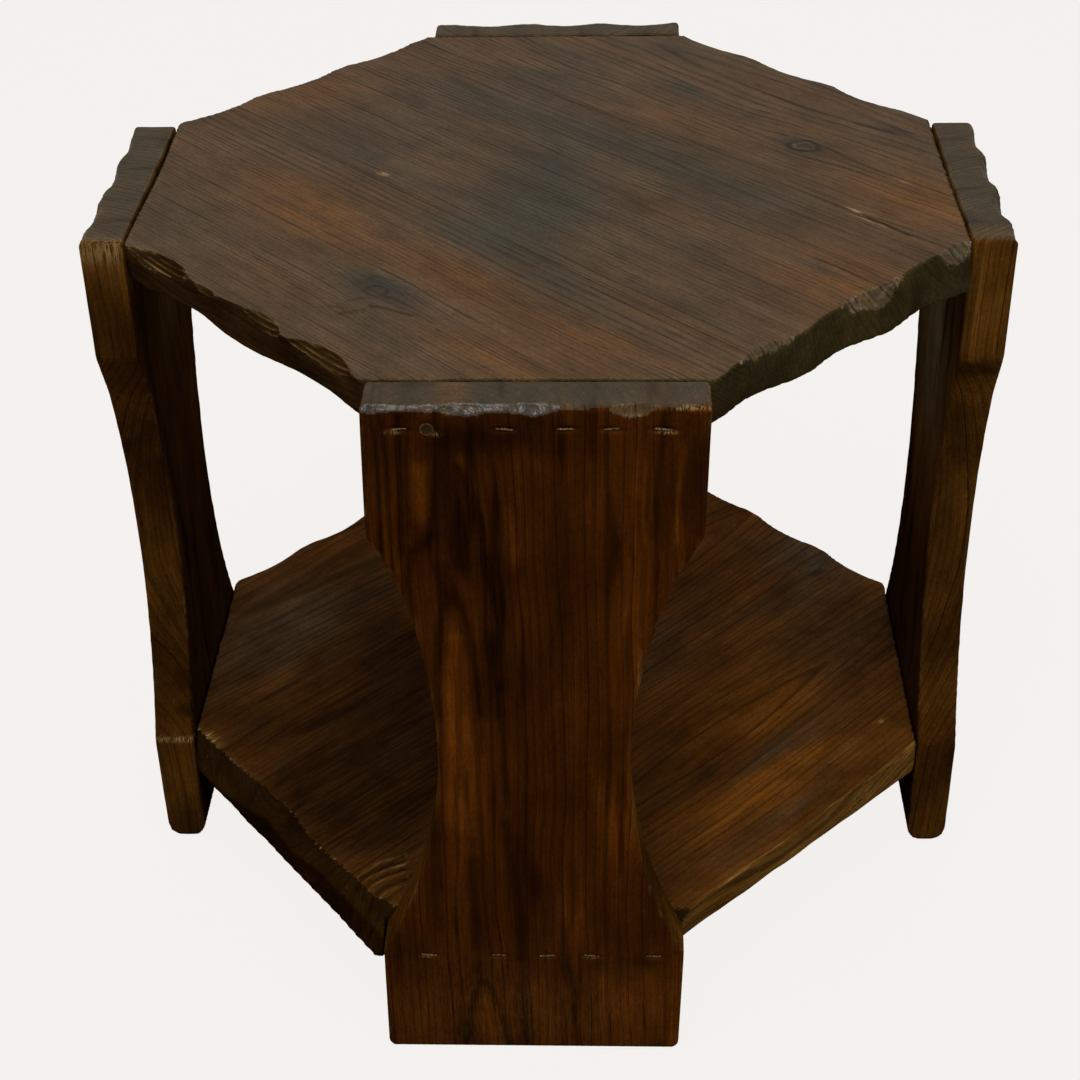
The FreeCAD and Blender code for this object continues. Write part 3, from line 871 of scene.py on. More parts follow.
# Colour patches on the planks: place along, place across, reach along, reach across, strength, any turn
PATCHES = {
    "top": {
        "warm": ((-70, -165, 75, 42, 0.7), (80, -145, 60, 28, 0.8), (210, -150, 55, 32, 0.7),
                 (180, -205, 60, 22, 0.55), (215, 165, 60, 40, 0.75), (260, 30, 60, 55, 0.7),
                 (195, 85, 40, 14, 0.3), (-260, -20, 40, 90, 0.5), (60, 190, 120, 60, 0.35)),
        "cool": ((20, -25, 95, 38, 1.1, -52), (-160, -40, 70, 50, 0.45), (220, -30, 60, 40, 0.25),
                 (140, -110, 60, 22, 0.6), (58, -200, 34, 14, 1.2), (90, 178, 16, 11, 1.3),
                 (-52, 197, 24, 8, 0.8), (-120, 60, 120, 40, 0.4), (60, 88, 130, 26, 0.6),
                 (234, 34, 24, 9, 0.6), (23, -102, 50, 24, 0.6), (-150, 122, 50, 24, 0.5),
                 (60, 200, 150, 50, 0.2)),
        "wear_and_highlight": ((194, 117.2, 9, 1.5, 1.6), (212, 111.8, 14, 1.2, 0.8), (-91, -82, 3.5, 1.8, 2.0),
                 (185, 181, 6, 1.6, 1.0)),
        "stain": ((52, -200, 18, 6, 0.3), (60, -237, 9, 3, 0.6), (60, 85, 120, 26, 0.18),
                  (235, 80, 50, 14, 0.3), (140, -150, 40, 25, 0.2)),
    },
    "shelf": {
        "warm": ((0, -236, 80, 18, 0.8), (97, -262, 60, 12, 0.25), (89, -158, 70, 30, 0.8),
                 (67, -195, 40, 16, 0.5), (128, -100, 50, 30, 0.45), (105, -71, 40, 6, 0.4),
                 (-55, -215, 45, 16, 0.6), (205, -130, 60, 60, 0.3), (-130, -296, 150, 12, 1.1),
                 (80, -294, 120, 8, 0.4)),
        "cool": ((-140, 205, 110, 55, 0.7), (270, -60, 40, 50, 0.8), (207, -91, 36, 12, 0.45),
                 (180, -150, 60, 55, 0.4), (36, -212, 60, 8, 0.5), (-16, -264, 40, 8, 0.35),
                 (60, -60, 90, 30, 0.3)),
        "wear_and_highlight": ((-272, 126, 6, 13, 0.8), (-278, 92, 4, 20, 0.4), (-90, -296, 170, 6.0, 1.7),
                 (90, -298, 60, 5.0, 1.5), (123, -251, 1.6, 1.6, 2.0)),
        "stain": ((247, -78, 10, 5, 0.7), (-180, 75, 150, 95, 0.62), (-65, 120, 70, 55, 0.6),
                  # The patch at (-135, 15) is the front leg's shadow, painted onto the shelf
                  (-135, 15, 80, 55, 0.55), (-238, -52, 66, 62, 0.9), (-260, 15, 34, 40, 0.6),
                  (-235, 130, 40, 45, 0.45), (-31, 226, 60, 30, 0.3), (60, -65, 60, 30, 0.2),
                  (-60, -155, 60, 36, 0.3), (-185, -25, 50, 40, 0.5), (80, -272, 50, 10, 0.3)),
    },
    "front_leg": {
        "warm": ((548, -52, 8, 9, 0.9), (400, 62, 50, 18, 0.2), (60, 50, 50, 30, 0.3),
                 (150, 20, 60, 10, 0.4), (430, -92, 60, 8, 0.3), (240, -58, 120, 16, 0.25),
                 (300, 52, 90, 14, 0.8), (200, 54, 60, 14, 0.5), (45, 84, 60, 22, 1.0),
                 (40, 0, 55, 120, 0.22), (23, -22, 30, 16, 0.3)),
        "cool": ((524, -8, 14, 40, 0.7), (300, 20, 150, 20, 0.15)),
        "wear_and_highlight": ((530.2, -87, 1.2, 4, 0.9), (530.2, 79, 1.2, 5, 1.0), (529, -61, 1.2, 3, 0.9),
                 (92.8, -86, 1.0, 3, 0.6), (92.8, 33, 0.9, 4, 0.6), (300, 64, 60, 1.6, 0.4),
                 (546.2, 92, 1.0, 14, 0.9), (40, 0, 50, 120, 0.07)),
        "stain": ((94, 70, 5, 14, 0.6), (412, 0, 42, 70, 0.28), (485, -13, 30, 10, 0.3)),
    },
    "right_leg": {
        "warm": ((520, -104, 60, 14, 0.8), (430, -90, 34, 16, 0.8), (250, -60, 200, 20, 0.4),
                 (290, 5, 55, 50, 0.6)),
        # This cool patch paints a sheen on the right leg's inner face through LEG_INSIDE's pale cool colour;
        # on the outer faces it darkens
        "cool": ((440, 0, 95, 52, 0.9),),
        "stain": ((250, -64, 40, 14, 0.35),),
    },
    "left_leg": {
        "warm": ((532, 104, 20, 14, 1.0), (300, 70, 160, 20, 0.2), (70, 100, 40, 20, 0.3)),
        "cool": ((150, 105, 40, 20, 0.6), (470, -10, 70, 50, 0.3)),
        "stain": ((330, 75, 60, 20, 0.35), (170, 100, 50, 20, 0.6)),
        # The pale mark at level 106 is a painted highlight on the edge of the foot's step
        "wear_and_highlight": ((106, 106, 1.8, 14, 0.7), (540, 104, 8, 5, 0.5)),
    },
    "back_leg": {
        "warm": ((500, 60, 60, 30, 0.4), (200, -40, 160, 20, 0.4)),
    },
}

# Lines of the figure: width and strength of each stroke, and its path as places along and across
STROKES = {
    "top": {
        "stain": ((2.1, 1.2, loop(90, 178, 10.5, 10)), (5.0, 0.4, ((-60, 121), (105, 126), (185, 119))),
                  (1.5, 1.2, ((188, 114.6), (215, 114.6), (246, 114.4))),
                  (1.5, 0.6, ((45, -215), (38, -203), (38, -191), (52, -186))),
                  (1.5, 0.6, ((65, -243), (71, -237), (74, -227))),
                  (1.8, 1.0, ((75, -221), (85, -215), (101, -208))),
                  (1.4, 0.6, loop(58, -204, 8.5, 7.5)),
                  (1.4, 0.5, ((59, -226), (63, -217), (71, -206), (72, -193))),
                  (1.3, 0.4, ((58, -188), (72, -186), (84, -189)))),
        "wear_and_highlight": ((1.2, 0.3, loop(90, 178, 7.5, 7)),),
    },
    "shelf": {
        "wear_and_highlight": ((1.4, 0.7, ((-297, -87), (-290, -83), (-278, -82), (-264, -85.5), (-250, -90))),
                 (1.4, 0.7, ((-300, -94), (-292, -89.5), (-281, -89.5), (-270, -92.6), (-258, -98))),
                 (1.4, 0.7, ((-302, -101.5), (-292, -98.5), (-281, -99), (-264, -105))),
                 (1.5, 0.6, ((-302, -112.6), (-290, -112), (-272, -114.6))),
                 (1.4, 0.4, ((-282, 77), (-285.5, 51), (-287, 11), (-293, -19), (-293, -46), (-299, -88)))),
        "stain": tuple((width, 0.5, path)
                       for width, (_, _, path) in zip((1.3, 1.3, 1.5), GROOVES["shelf"])),
    },
    "front_leg": {
        "warm": ((9.0, 1.05, ((352, -54), (300, -54), (260, -55), (225, -57))),
                 (4.5, 1.1, ((378, -55), (350, -54))),
                 (3.5, 0.9, ((510, -44), (490, -38), (465, -32), (445, -30))),
                 (5.0, 0.8, ((505, -70), (470, -69))),
                 (3.0, 0.7, ((470, -17), (450, -15), (430, -17))),
                 (12.0, 0.25, ((440, 70), (400, 62), (350, 56))),
                 (1.3, 0.8, ((518, 60), (445, 61))),
                 (1.3, 0.8, ((518, 66), (450, 67))),
                 (1.1, 0.7, ((512, 72), (465, 72))),
                 (1.6, 0.7, ((520, 88), (480, 87), (450, 85))),
                 (6.0, 0.5, ((45, -46), (8, -45)))),
        "stain": ((12.0, 0.7, ((522, -60), (500, -55), (477, -50), (450, -49), (436, -46))),
                  (8.0, 0.5, ((527, -52), (524, -20), (521, 12))),
                  (2.8, 0.5, ((505, -46), (480, -38), (455, -33), (430, -30), (405, -26))),
                  (2.6, 0.45, ((502, -25), (470, -23), (440, -24))),
                  (3.2, 0.6, ((458, -64), (442, -77), (425, -82), (392, -79))),
                  (8.0, 0.6, ((428, -59), (405, -54))),
                  (2.8, 0.65, ((415, -55), (395, -61), (372, -66), (345, -68), (310, -67))),
                  (3.0, 0.6, ((415, -53), (395, -47), (370, -43), (335, -41), (285, -41))),
                  (9.0, 0.5, ((430, -20), (400, -28), (350, -37), (320, -38))),
                  (14.0, 0.25, ((450, 12), (420, 10), (380, 14))),
                  (1.4, 0.7, ((545, -97), (440, -96))),
                  (1.6, 0.7, ((545, -91), (430, -90))),
                  (2.6, 0.9, ((542, -81), (500, -82), (440, -84))),
                  (1.3, 0.5, ((542, -76), (505, -77), (460, -78))),
                  (6.0, 0.6, ((374, -30), (338, -24))),
                  (4.5, 0.8, ((186, -51), (141, -50), (104, -49))),
                  (5.0, 0.7, ((220, -25), (170, -20), (120, -19), (92, -18))),
                  (2.2, 0.8, ((6, -59), (40, -56), (60, -50), (67, -46), (60, -41), (40, -35), (6, -30))),
                  (1.8, 0.5, ((8, -67), (45, -65), (74, -55), (84, -46))),
                  (5.0, 0.4, ((508, 95), (462, 97)))),
    },
}

# How patches and strokes wander along and across: how far, and the noise's cells and seed
PATCH_BENDS = ((16.0, (60.0, 30.0, 60.0), 91), (6.0, (50.0, 20.0, 60.0), 92))
STROKE_BENDS = ((6.0, (30.0, 9.0, 60.0), 93), (2.4, (34.0, 18.0, 60.0), 94))

# Clouds of warm, dull and dark wood: cells along, across and up, and a seed
WARM_CLOUD = ((110.0, 24.0, 60.0), 5)
DULL_CLOUD = ((80.0, 15.0, 60.0), 6)
FIGURE = ((90.0, 9.0, 40.0), 7)
FINE_FIGURE = ((40.0, 4.0, 30.0), 8)
WARMTH = 0.12
FIGURE_FADE = (0.15, 1.0)
DULL_FADE = (2.0, 8.0)

# Painted shade, darkest low down, on the inner face of a leg: depth from it, and level
INNER_FADE = (0.4, 2.0)
INNER_RISE = (200.0, 360.0)

# Broken wear: how its noise fades, and its seed
WEAR_FADE = (-0.1, 0.7)
WEAR_SEED = 15

# The bevelled edge: how dark the painted shade on the side under the bevel is and how it fades, and how its
# wear breaks up
UNDER_SHADE = 0.6
UNDER_FADE = (-1.5, 2.0)
UPPER_FADE = (-1.5, -0.5)
SHELF_WEAR = (0.4, 0.9)


def bent(points, bends):
    """Points moved along and across by noise, so that what is drawn there wanders."""
    moved = points.copy()
    for axis, (reach, cell, seed) in enumerate(bends):
        moved[:, axis] += reach * noise(points, cell, seed)
    return moved


def shade_bevel(points, side, broken, shares):
    """Paint shade on the shelf's side under its bevel, break its wear up and keep that off the bevel."""
    beyond = points[:, 0] < BEVEL_SIDE
    foot = THICK - np.interp(BEVEL_START - points[:, 1], BEVEL_PLACES, BEVEL_DEPTHS)
    shares["stain"] += UNDER_SHADE * side * smoothstep(*UNDER_FADE, foot - points[:, 2]) * beyond
    upper = smoothstep(*UPPER_FADE, points[:, 2] - THICK)
    shares["wear_and_highlight"] *= (SHELF_WEAR[0] + SHELF_WEAR[1] * broken) * np.where(beyond, upper, 1.0)


def patchwork(key, edge_wear, rim_wear, warm_swing, dark_swing, wear_cell=(9.0, 9.0, 9.0), inner_shade=0.0):
    """How warm and how cool in tone a plank is at each point (cool is a painted sheen on the right leg's
    inner face), how pale from wear and a painted highlight, and how dark from stain and painted shade.
    """

    def tint(points, masks):
        moved = bent(points, PATCH_BENDS)
        drawn = bent(points, STROKE_BENDS)
        shares = {kind: np.zeros(len(points)) for kind in ("warm", "cool", "wear_and_highlight", "stain")}
        for kind, share in shares.items():
            places = points if kind == "wear_and_highlight" else moved
            for along, across, reach_along, reach_across, strength, *turn in PATCHES[key].get(kind, ()):
                share += strength * bump(oval(places, (along, across), (reach_along, reach_across), *turn))
            for width, strength, path in STROKES.get(key, {}).get(kind, ()):
                share += strength * stroke(drawn, path, width)
        shares["warm"] += WARMTH + warm_swing * noise(moved, *WARM_CLOUD)
        dull = np.maximum(noise(moved, *DULL_CLOUD), 0.0)
        shares["cool"] += dark_swing * smoothstep(*DULL_FADE, points[:, 2]) * dull
        figure = noise(moved, *FIGURE) + 0.5 * noise(drawn, *FINE_FIGURE)
        shares["stain"] += dark_swing * smoothstep(*FIGURE_FADE, figure)
        # Painted shade: the legs' inner faces are darkened low down
        inner = (1.0 - smoothstep(*INNER_FADE, points[:, 2])) * (1.0 - smoothstep(*INNER_RISE, points[:, 0]))
        shares["stain"] += inner_shade * inner
        broken = smoothstep(*WEAR_FADE, noise(points, wear_cell, WEAR_SEED))
        shares["wear_and_highlight"] += broken * (edge_wear * masks["edge"] + rim_wear * masks["rim"])
        if key == BEVELLED[0]:
            shade_bevel(points, masks["side"], broken, shares)
        return np.stack(list(shares.values()), axis=1)

    return tint


# Places of a board's and of a leg's materials in their meshes
FLAT, LONG, END, END_CUT, LONG_CUT, POLISHED = range(6)
OUTER, GOUGED, CROWN, INNER, FLANK, TORN = range(6)

# How much a face turns to the grain to show end grain, and the facets of polished end grain
ENDWISE = 0.6
FACETS = ((3.0, 3.0, 11.0), 63)
POLISH_FROM = 0.3


def dress_board(materials, all_end=-math.inf):
    """Choose one of six materials for each face of a board, in the order named above.

    Some facets of the cuts in end grain are polished. Before the place all_end there is no long grain."""

    def dress(middles, shares, facing):
        cut = shares["cut"] > 0.5
        worked = cut | (shares["side"] > 0.5)
        endwise = facing[:, 0] > ENDWISE * np.hypot(facing[:, 0], facing[:, 1])
        endwise |= middles[:, 0] < all_end
        index = np.full(len(middles), FLAT)
        index[worked] = LONG
        index[worked & endwise] = END
        index[cut & (index == LONG)] = LONG_CUT
        index[cut & (index == END)] = END_CUT
        index[(index == END_CUT) & (noise(middles, *FACETS) > POLISH_FROM)] = POLISHED
        return materials, index

    return dress


def build_panel(panel, planks, tint, dress):
    limits = (None, *panel.joints, None)
    for plank, low, high in zip(planks, limits[:-1], limits[1:]):
        node = f"{panel.name}_board_{plank}"
        rings = RINGS[node]
        joints = [joint for joint in (low, high) if joint is not None]
        carve_plank(node, panel.frame, panel_axes(panel, low, high, rings),
                    panel_parts(panel, low, high, rings), rings, tint, BOARD_RELIEF, dress,
                    joints)


# How deep the grain is brushed
BOARD_RELIEF = 0.4
LEG_RELIEF = 0.3

build_panel(TOP, ("front_left", "middle", "back_right"),
            patchwork("top", edge_wear=0.22, rim_wear=0.5, warm_swing=0.25, dark_swing=0.25),
            dress_board((TOP_WOOD, TOP_SIDE, TOP_END, TOP_CHIP, TOP_SPLIT, TOP_GLEAM)))
build_panel(SHELF, ("front_right", "middle", "back_left"),
            patchwork("shelf", edge_wear=0.1, rim_wear=0.3, warm_swing=0.25, dark_swing=0.3,
                      wear_cell=(15.0, 2.4, 2.4)),
            dress_board((SHELF_WOOD, SHELF_SIDE, SHELF_END, SHELF_END, SHELF_SIDE, SHELF_END), BEVEL_SIDE))


# The legs: along is up, across is to the right as seen from outside, up is outward

LEG_FRAMES = {}
for side, (x, y) in {"front": (0, -1), "right": (1, 0), "back": (0, 1), "left": (-1, 0)}.items():
    LEG_FRAMES[side] = plank_frame((x * HALF_X, y * HALF_Y, 0), (0, 0, 1), (-y, x, 0), (x, y, 0))

STAPLE_ROWS = {"top": (TOP_ROW_LEVEL, TOP_ROW), "shelf": (SHELF_ROW_LEVEL, SHELF_ROW)}

# Gouge cuts along the outer arris of each leg's head: place across, length, bite, tilt from outward to up
HEAD_CUTS = {
    "front": ((-92, 40, 3.0, 42), (-66, 30, 2.4, 48), (-42, 44, 4.4, 42), (-20, 30, 2.8, 48),
              (-2, 46, 4.0, 42), (24, 34, 2.2, 48), (57, 30, 3.6, 28), (94, 30, 1.6, 50)),
    "right": ((72, 62, 6.0, 28), (10, 60, 7.0, 26), (-50, 58, 7.0, 26), (-94, 30, 4.0, 34)),
    "back": ((-70, 66, 6.0, 40), (-6, 60, 6.0, 38), (60, 70, 6.0, 38)),
    "left": ((-62, 50, 4.4, 34), (-4, 56, 5.0, 32), (62, 56, 4.6, 34), (96, 30, 2.6, 40)),
}

# The arris of each head is broken along its whole length: how far, and the pitch of its swing with what is
# added to the leg's seed. The front leg's is split smooth as far as this place across, so that it shines.
SILVERED = 14.0
HEAD_BREAK = 1.5
BREAK_SWING = (26.0, 5)

# How round a leg's corners and arrises are
HEAD_CORNER = 3.5
FOOT_CORNER = 7.0
LEG_ARRIS = 1.8

# Roughness of the heads: depth, cells, and what is added to the leg's seed
BREAK_ROUGH = (0.4, (14.0, 5.0, 9.0), 4)
CUT_ROUGH = ((0.6, (8.0, 9.0, 8.0), 3), (0.3, (5.0, 3.5, 5.0), 6))

# How far the flanks waver inward, the cells of that noise, how near to the flank, and the legs' seed
FLANK_DEPTH = 0.4
FLANK_CELL = (40.0, 200.0, 16.0)
FLANK_BAND = 4.0
LEG_SEED = 200

# How far a head reaches down and inward, and how far a foot's lower edge and its corners reach up
HEAD_DOWN = 26.0
HEAD_INWARD = 20.0
FOOT_BAND = 30.0
CORNER_BAND = 60.0

# Where the foot begins and how much its lower edge is rounded, and where the front leg differs
FOOT_SHAPE = (105.0, 18.0)
FRONT_FOOT_SHAPE = (98.0, 2.5)

# The dent round a staple: half length, half height, depth; how much the dents lean, in degrees, and
# how that changes along a row; how far round a row they reach
DENT = (7.6, 1.9, 1.7)
DENT_LEAN = 7.0
ROW_TURN = 2.1
DENT_BAND = 6.0
DENT_SINK = 4.0

# The hole of the nail's head: radius, depth
NAIL_DENT = (5.1, 0.9)

# The grid of a leg: steps up, also close to foot, rows and head, and across; its start; fine bands at the
# foot, below the top row and at the outer face; steps outward
SIDE_STEPS = (4.0, 1.4, 1.5)
FRONT_STEPS = (6.0, 0.9, 0.9)
GRID_START = -2.0
FINE_FOOT = 10.0
FINE_BAND = 8.0
OUTWARD_STEPS = (2.0, 1.4)

# Half the distance over which a flank's slope is measured
SLOPE_STEP = 2.0


def bow(level, half, end_level):
    """The half width on an arc that starts at the waist and reaches half at a level."""
    widening = half - WAIST_HALF
    radius = (widening ** 2 + (WAIST_LEVEL - end_level) ** 2) / (2 * widening)
    return WAIST_HALF + radius - np.sqrt(np.maximum(radius ** 2 - (level - WAIST_LEVEL) ** 2, 0.0))


def half_width(level, foot_top):
    neck = NECK_HALF + (HEAD_HALF - NECK_HALF) * (level - NECK_LEVEL) / (SHOULDER_LEVEL - NECK_LEVEL)
    width = np.where(level < WAIST_LEVEL, bow(level, FOOT_HALF, foot_top), bow(level, NECK_HALF, NECK_LEVEL))
    width = np.where(level > NECK_LEVEL, neck, width)
    width = np.where(level > SHOULDER_LEVEL, HEAD_HALF, width)
    return np.where(level < foot_top, FOOT_HALF, width)


def staple_dents(points, level, row, seed):
    """Shallow gouges left round each staple's crown, positive where wood is gone."""
    gone = uncut(points)
    for number, middle in enumerate(row):
        lean = math.radians(DENT_LEAN * math.sin(seed + ROW_TURN * number))
        rise = points[:, 0] - level
        reach = points[:, 1] - middle
        first = (reach * math.cos(lean) + rise * math.sin(lean)) / DENT[0]
        second = (rise * math.cos(lean) - reach * math.sin(lean)) / DENT[1]
        third = (points[:, 2] - THICK) / DENT[2]
        gone = np.maximum(gone, DENT[2] * (1.0 - np.sqrt(first ** 2 + second ** 2 + third ** 2)))
    return gone


def head_break(points, seed):
    """The broken arris along the top of a leg's outer face."""
    pitch, swing_step = BREAK_SWING
    depth, cell, step = BREAK_ROUGH
    width = HEAD_BREAK * (1.0 + noise_line(points[:, 1], pitch, seed + swing_step))
    width += depth * noise(points, cell, seed + step)
    return (points[:, 0] - HEIGHT + points[:, 2] - THICK) * math.sqrt(0.5) + width


def head_cuts(points, side_name, seed):
    gone = uncut(points)
    for middle, length, bite, tilt in HEAD_CUTS[side_name]:
        arris = (HEIGHT, middle, THICK)
        gone = np.maximum(gone, scoop(points, arris, (0.0, 0.0, 1.0), (1.0, 0.0, 0.0), length, bite, tilt))
    return gone + sum(depth * noise(points, cell, seed + step) for depth, cell, step in CUT_ROUGH)


def leg_parts(side_name):
    """The shape of a leg: a bowed plank with broken heads and dents round its fasteners."""
    front = side_name == "front"
    lean = FRONT_LEAN if front else 0.0
    foot_top, foot_edge = FRONT_FOOT_SHAPE if front else FOOT_SHAPE
    seed = LEG_SEED + len(side_name)

    def parts(points):
        level, across, out = points.T
        off = np.abs(across + lean * (HEIGHT - level) / HEIGHT)
        change = half_width(level + SLOPE_STEP, foot_top) - half_width(level - SLOPE_STEP, foot_top)
        flank = (off - half_width(level, foot_top)) / np.hypot(1.0, change / (2 * SLOPE_STEP))
        near = np.abs(flank) < FLANK_BAND
        flank[near] += FLANK_DEPTH * (1.0 + noise(points[near], FLANK_CELL, seed))
        ends = np.maximum(level - HEIGHT, -level)
        outline = rounded(flank, ends, np.where(level < CORNER_BAND, FOOT_CORNER, HEAD_CORNER))
        face = np.maximum(out - THICK, -out)
        blank = rounded(outline, face, LEG_ARRIS)
        foot = level < FOOT_BAND
        blank[foot] = np.maximum(blank[foot], rounded(ends[foot], face[foot], foot_edge))
        cuts = uncut(points)
        head = (level > HEIGHT - HEAD_DOWN) & (out > THICK - HEAD_INWARD)
        broken = head_break(points[head], seed)
        silver = front & (across[head] < SILVERED)
        cuts[head] = np.maximum(head_cuts(points[head], side_name, seed), np.where(silver, broken, UNCUT))
        blank[head] = np.where(silver, blank[head], np.maximum(blank[head], broken))
        dents = uncut(points)
        for row_level, row in STAPLE_ROWS.values():
            near = (np.abs(level - row_level) < DENT_BAND) & (out > THICK - DENT_SINK)
            dents[near] = staple_dents(points[near], row_level, row, seed)
        if front:
            hole = NAIL_DENT[0] - np.hypot(level - TOP_ROW_LEVEL, across - NAIL_PLACE)
            dents = np.maximum(dents, np.minimum(hole, out - THICK + NAIL_DENT[1]))
        return blank, cuts, dents, outline, face

    return parts


def leg_axes(step, fine_step, across_step):
    """The grid of a leg, closer at its foot, its rows of staples and its head."""
    top = HEIGHT + GRID_MARGIN
    out = THICK - GRID_START
    reach = FOOT_HALF + GRID_MARGIN
    fine = ((GRID_START, FINE_FOOT), (SHELF_ROW_LEVEL - DENT_BAND, SHELF_ROW_LEVEL + DENT_BAND),
            (TOP_ROW_LEVEL - FINE_BAND, top))
    return (graded(GRID_START, top, step, fine_step, fine),
            graded(-reach - FRONT_LEAN, reach, across_step, across_step, ()),
            graded(GRID_START, out, *OUTWARD_STEPS, ((THICK - FINE_BAND, out),)))


# Faces of a leg: how square to a flank, how near to the top, how near to the inner face
FLANKWISE = 0.7
CROWN_BAND = 1.0
INNER_BAND = 0.8


def dress_leg(cut, crown, torn_from):
    """Choose a material for each face of a leg. Gouge cuts are torn from a place across."""

    def dress(middles, shares, facing):
        index = np.full(len(middles), OUTER)
        index[facing[:, 1] > FLANKWISE] = FLANK
        index[middles[:, 0] > HEIGHT - CROWN_BAND] = CROWN
        index[shares["cut"] > 0.5] = GOUGED
        index[(index == GOUGED) & (middles[:, 1] > torn_from)] = TORN
        index[middles[:, 2] < INNER_BAND] = INNER
        return (LEG_WOOD, cut, crown, LEG_INSIDE, LEG_SIDE, LEG_SPLIT), index

    return dress


for side, plank in LEG_FRAMES.items():
    node = f"{side}_leg"
    axes = leg_axes(*SIDE_STEPS)
    dress = dress_leg(LEG_HEAD, LEG_HEAD, math.inf)
    if side == "front":
        axes = leg_axes(*FRONT_STEPS)
        dress = dress_leg(LEG_CUT, LEG_END, SILVERED)
    tint = patchwork(node, edge_wear=0.3, rim_wear=0.35, warm_swing=0.3, dark_swing=0.7, inner_shade=0.75)
    carve_plank(node, plank, axes, leg_parts(side), RINGS[node], tint, LEG_RELIEF, dress)


# Fasteners: bent wire staples and one nail

def steel_material(name, bright, brown, rust_share, roughness):
    nodes = Nodes(bpy.data.materials.new(name))
    place = nodes.add("ShaderNodeTexCoord").outputs["Object"]
    cloud = nodes.noise(place, 900.0, detail=4.0, roughness=0.65)
    scratch = nodes.noise(place, (2600.0, 2600.0, 500.0))
    rust = nodes.ramp(cloud, ((rust_share - 0.1, 1.0), (rust_share + 0.12, 0.0)))
    nodes.put(nodes.fit(rust, -0.85, 1.0), nodes.shader.inputs["Metallic"])
    rough = nodes.fit(rust, 0.35, nodes.swing(scratch, 0.2, roughness))
    relief = nodes.math("ADD", cloud, scratch)
    return nodes.finish(nodes.mix(rust, bright, brown), rough, relief, bump=0.3, depth=0.1, gloss=0.03)


STAPLE_STEEL = steel_material("staple_steel", (0.26, 0.18, 0.09), (0.06, 0.030, 0.010), 0.52, 0.45)
NAIL_STEEL = steel_material("nail_steel", (0.12, 0.068, 0.024), (0.042, 0.019, 0.005), 0.75, 0.6)
NAIL_RIM = steel_material("nail_rim", (0.20, 0.12, 0.05), (0.050, 0.024, 0.007), 0.58, 0.45)

# Staples: the wire's radius, sides and point, the bends, how deep and how crooked each sits
WIRE = 0.78
WIRE_SIDES = 8
WIRE_POINT = 1.4
WIRE_CLEARANCE = 0.05
BEND_RADIUS = 1.6
BEND_STEPS = 4
STAPLE_DEPTH = 49.0
POINT_START = 1.5
CROWN_SAG = 0.12
SAG_PLACES = (-0.4, 0.0, 0.4)
CROWN_SINK = 0.75
SINK_SWING = 0.4
SINK_TURN = 3.7
STAPLE_LEAN = 0.12


def staple_path(middle, level, sink, lean):
    """The wire of one staple, from one point round its crown to the other, in a leg's frame."""
    half = STAPLE_CROWN / 2 - WIRE - WIRE_CLEARANCE
    top = THICK - WIRE - sink
    limb = [(-half, top - STAPLE_DEPTH + POINT_START)]
    for step in range(BEND_STEPS + 1):
        angle = math.pi - step * math.pi / 2 / BEND_STEPS
        limb.append((-half + BEND_RADIUS + BEND_RADIUS * math.cos(angle),
                     top - BEND_RADIUS + BEND_RADIUS * math.sin(angle)))
    crown = [(share * half, top - CROWN_SAG * (1.0 - abs(share))) for share in SAG_PLACES]
    flat = limb + crown + [(-reach, out) for reach, out in reversed(limb)]
    return np.array([(level + lean * reach, middle + reach, out) for reach, out in flat])


def sweep(path, radius, sides):
    """A round wire along a path, with its ends closed to points."""
    points = []
    faces = []
    up = np.array((1.0, 0.0, 0.0))
    for number, place in enumerate(path):
        ahead = path[min(number + 1, len(path) - 1)] - path[max(number - 1, 0)]
        sidewise = np.cross(ahead / np.linalg.norm(ahead), up)
        for step in range(sides):
            angle = 2 * math.pi * step / sides
            points.append(place + radius * (math.cos(angle) * up + math.sin(angle) * sidewise))
    for number, step in itertools.product(range(len(path) - 1), range(sides)):
        following = (step + 1) % sides
        row = number * sides
        faces.append((row + step, row + following, row + sides + following, row + sides + step))
    for row, end, inner in ((0, 0, 1), (len(path) - 1, -1, -2)):
        ahead = path[end] - path[inner]
        points.append(path[end] + WIRE_POINT * ahead / np.linalg.norm(ahead))
        for step in range(sides):
            pair = (row * sides + step, row * sides + (step + 1) % sides)
            faces.append((*(pair if end else pair[::-1]), len(points) - 1))
    return points, faces


def metal_mesh(name, points, faces, plank, materials):
    if mirrored(plank):
        faces = [face[::-1] for face in faces]
    mesh = bpy.data.meshes.new(name)
    mesh.from_pydata(to_world(np.array(points), plank).tolist(), [], faces)
    mesh.polygons.foreach_set("use_smooth", np.ones(len(faces), bool))
    for material in materials:
        mesh.materials.append(material)
    return mesh


def build_staples(node, plank, level, row):
    points = []
    faces = []
    for number, middle in enumerate(row):
        sink = CROWN_SINK * (1.0 + SINK_SWING * math.sin(SINK_TURN * number + len(node)))
        lean = STAPLE_LEAN * math.sin(ROW_TURN * number + len(node))
        wire, wire_faces = sweep(staple_path(middle, level, sink, lean), WIRE, WIRE_SIDES)
        faces.extend(tuple(corner + len(points) for corner in face) for face in wire_faces)
        points.extend(wire)
    mesh = metal_mesh(f"{node}_wire", points, faces, plank, (STAPLE_STEEL,))
    add_piece(f"{node}_wire", mesh, node)


# The nail's outline, from the middle of its head to its point: distance from its axis, distance outward
NAIL_OUTLINE = ((0.0, 30.9), (1.6, 30.85), (2.7, 30.95), (3.3, 31.4), (3.9, 31.6), (4.4, 31.4), (4.7, 30.8),
                (4.72, 30.4), (4.4, 30.25), (2.1, 30.1), (1.7, 29.4), (1.68, -20.0), (1.2, -25.0),
                (0.0, -27.9))
NAIL_SIDES = 24
NAIL_CREASE = math.radians(50.0)
NAIL_RIM_BAND = (3.2, 4.5)


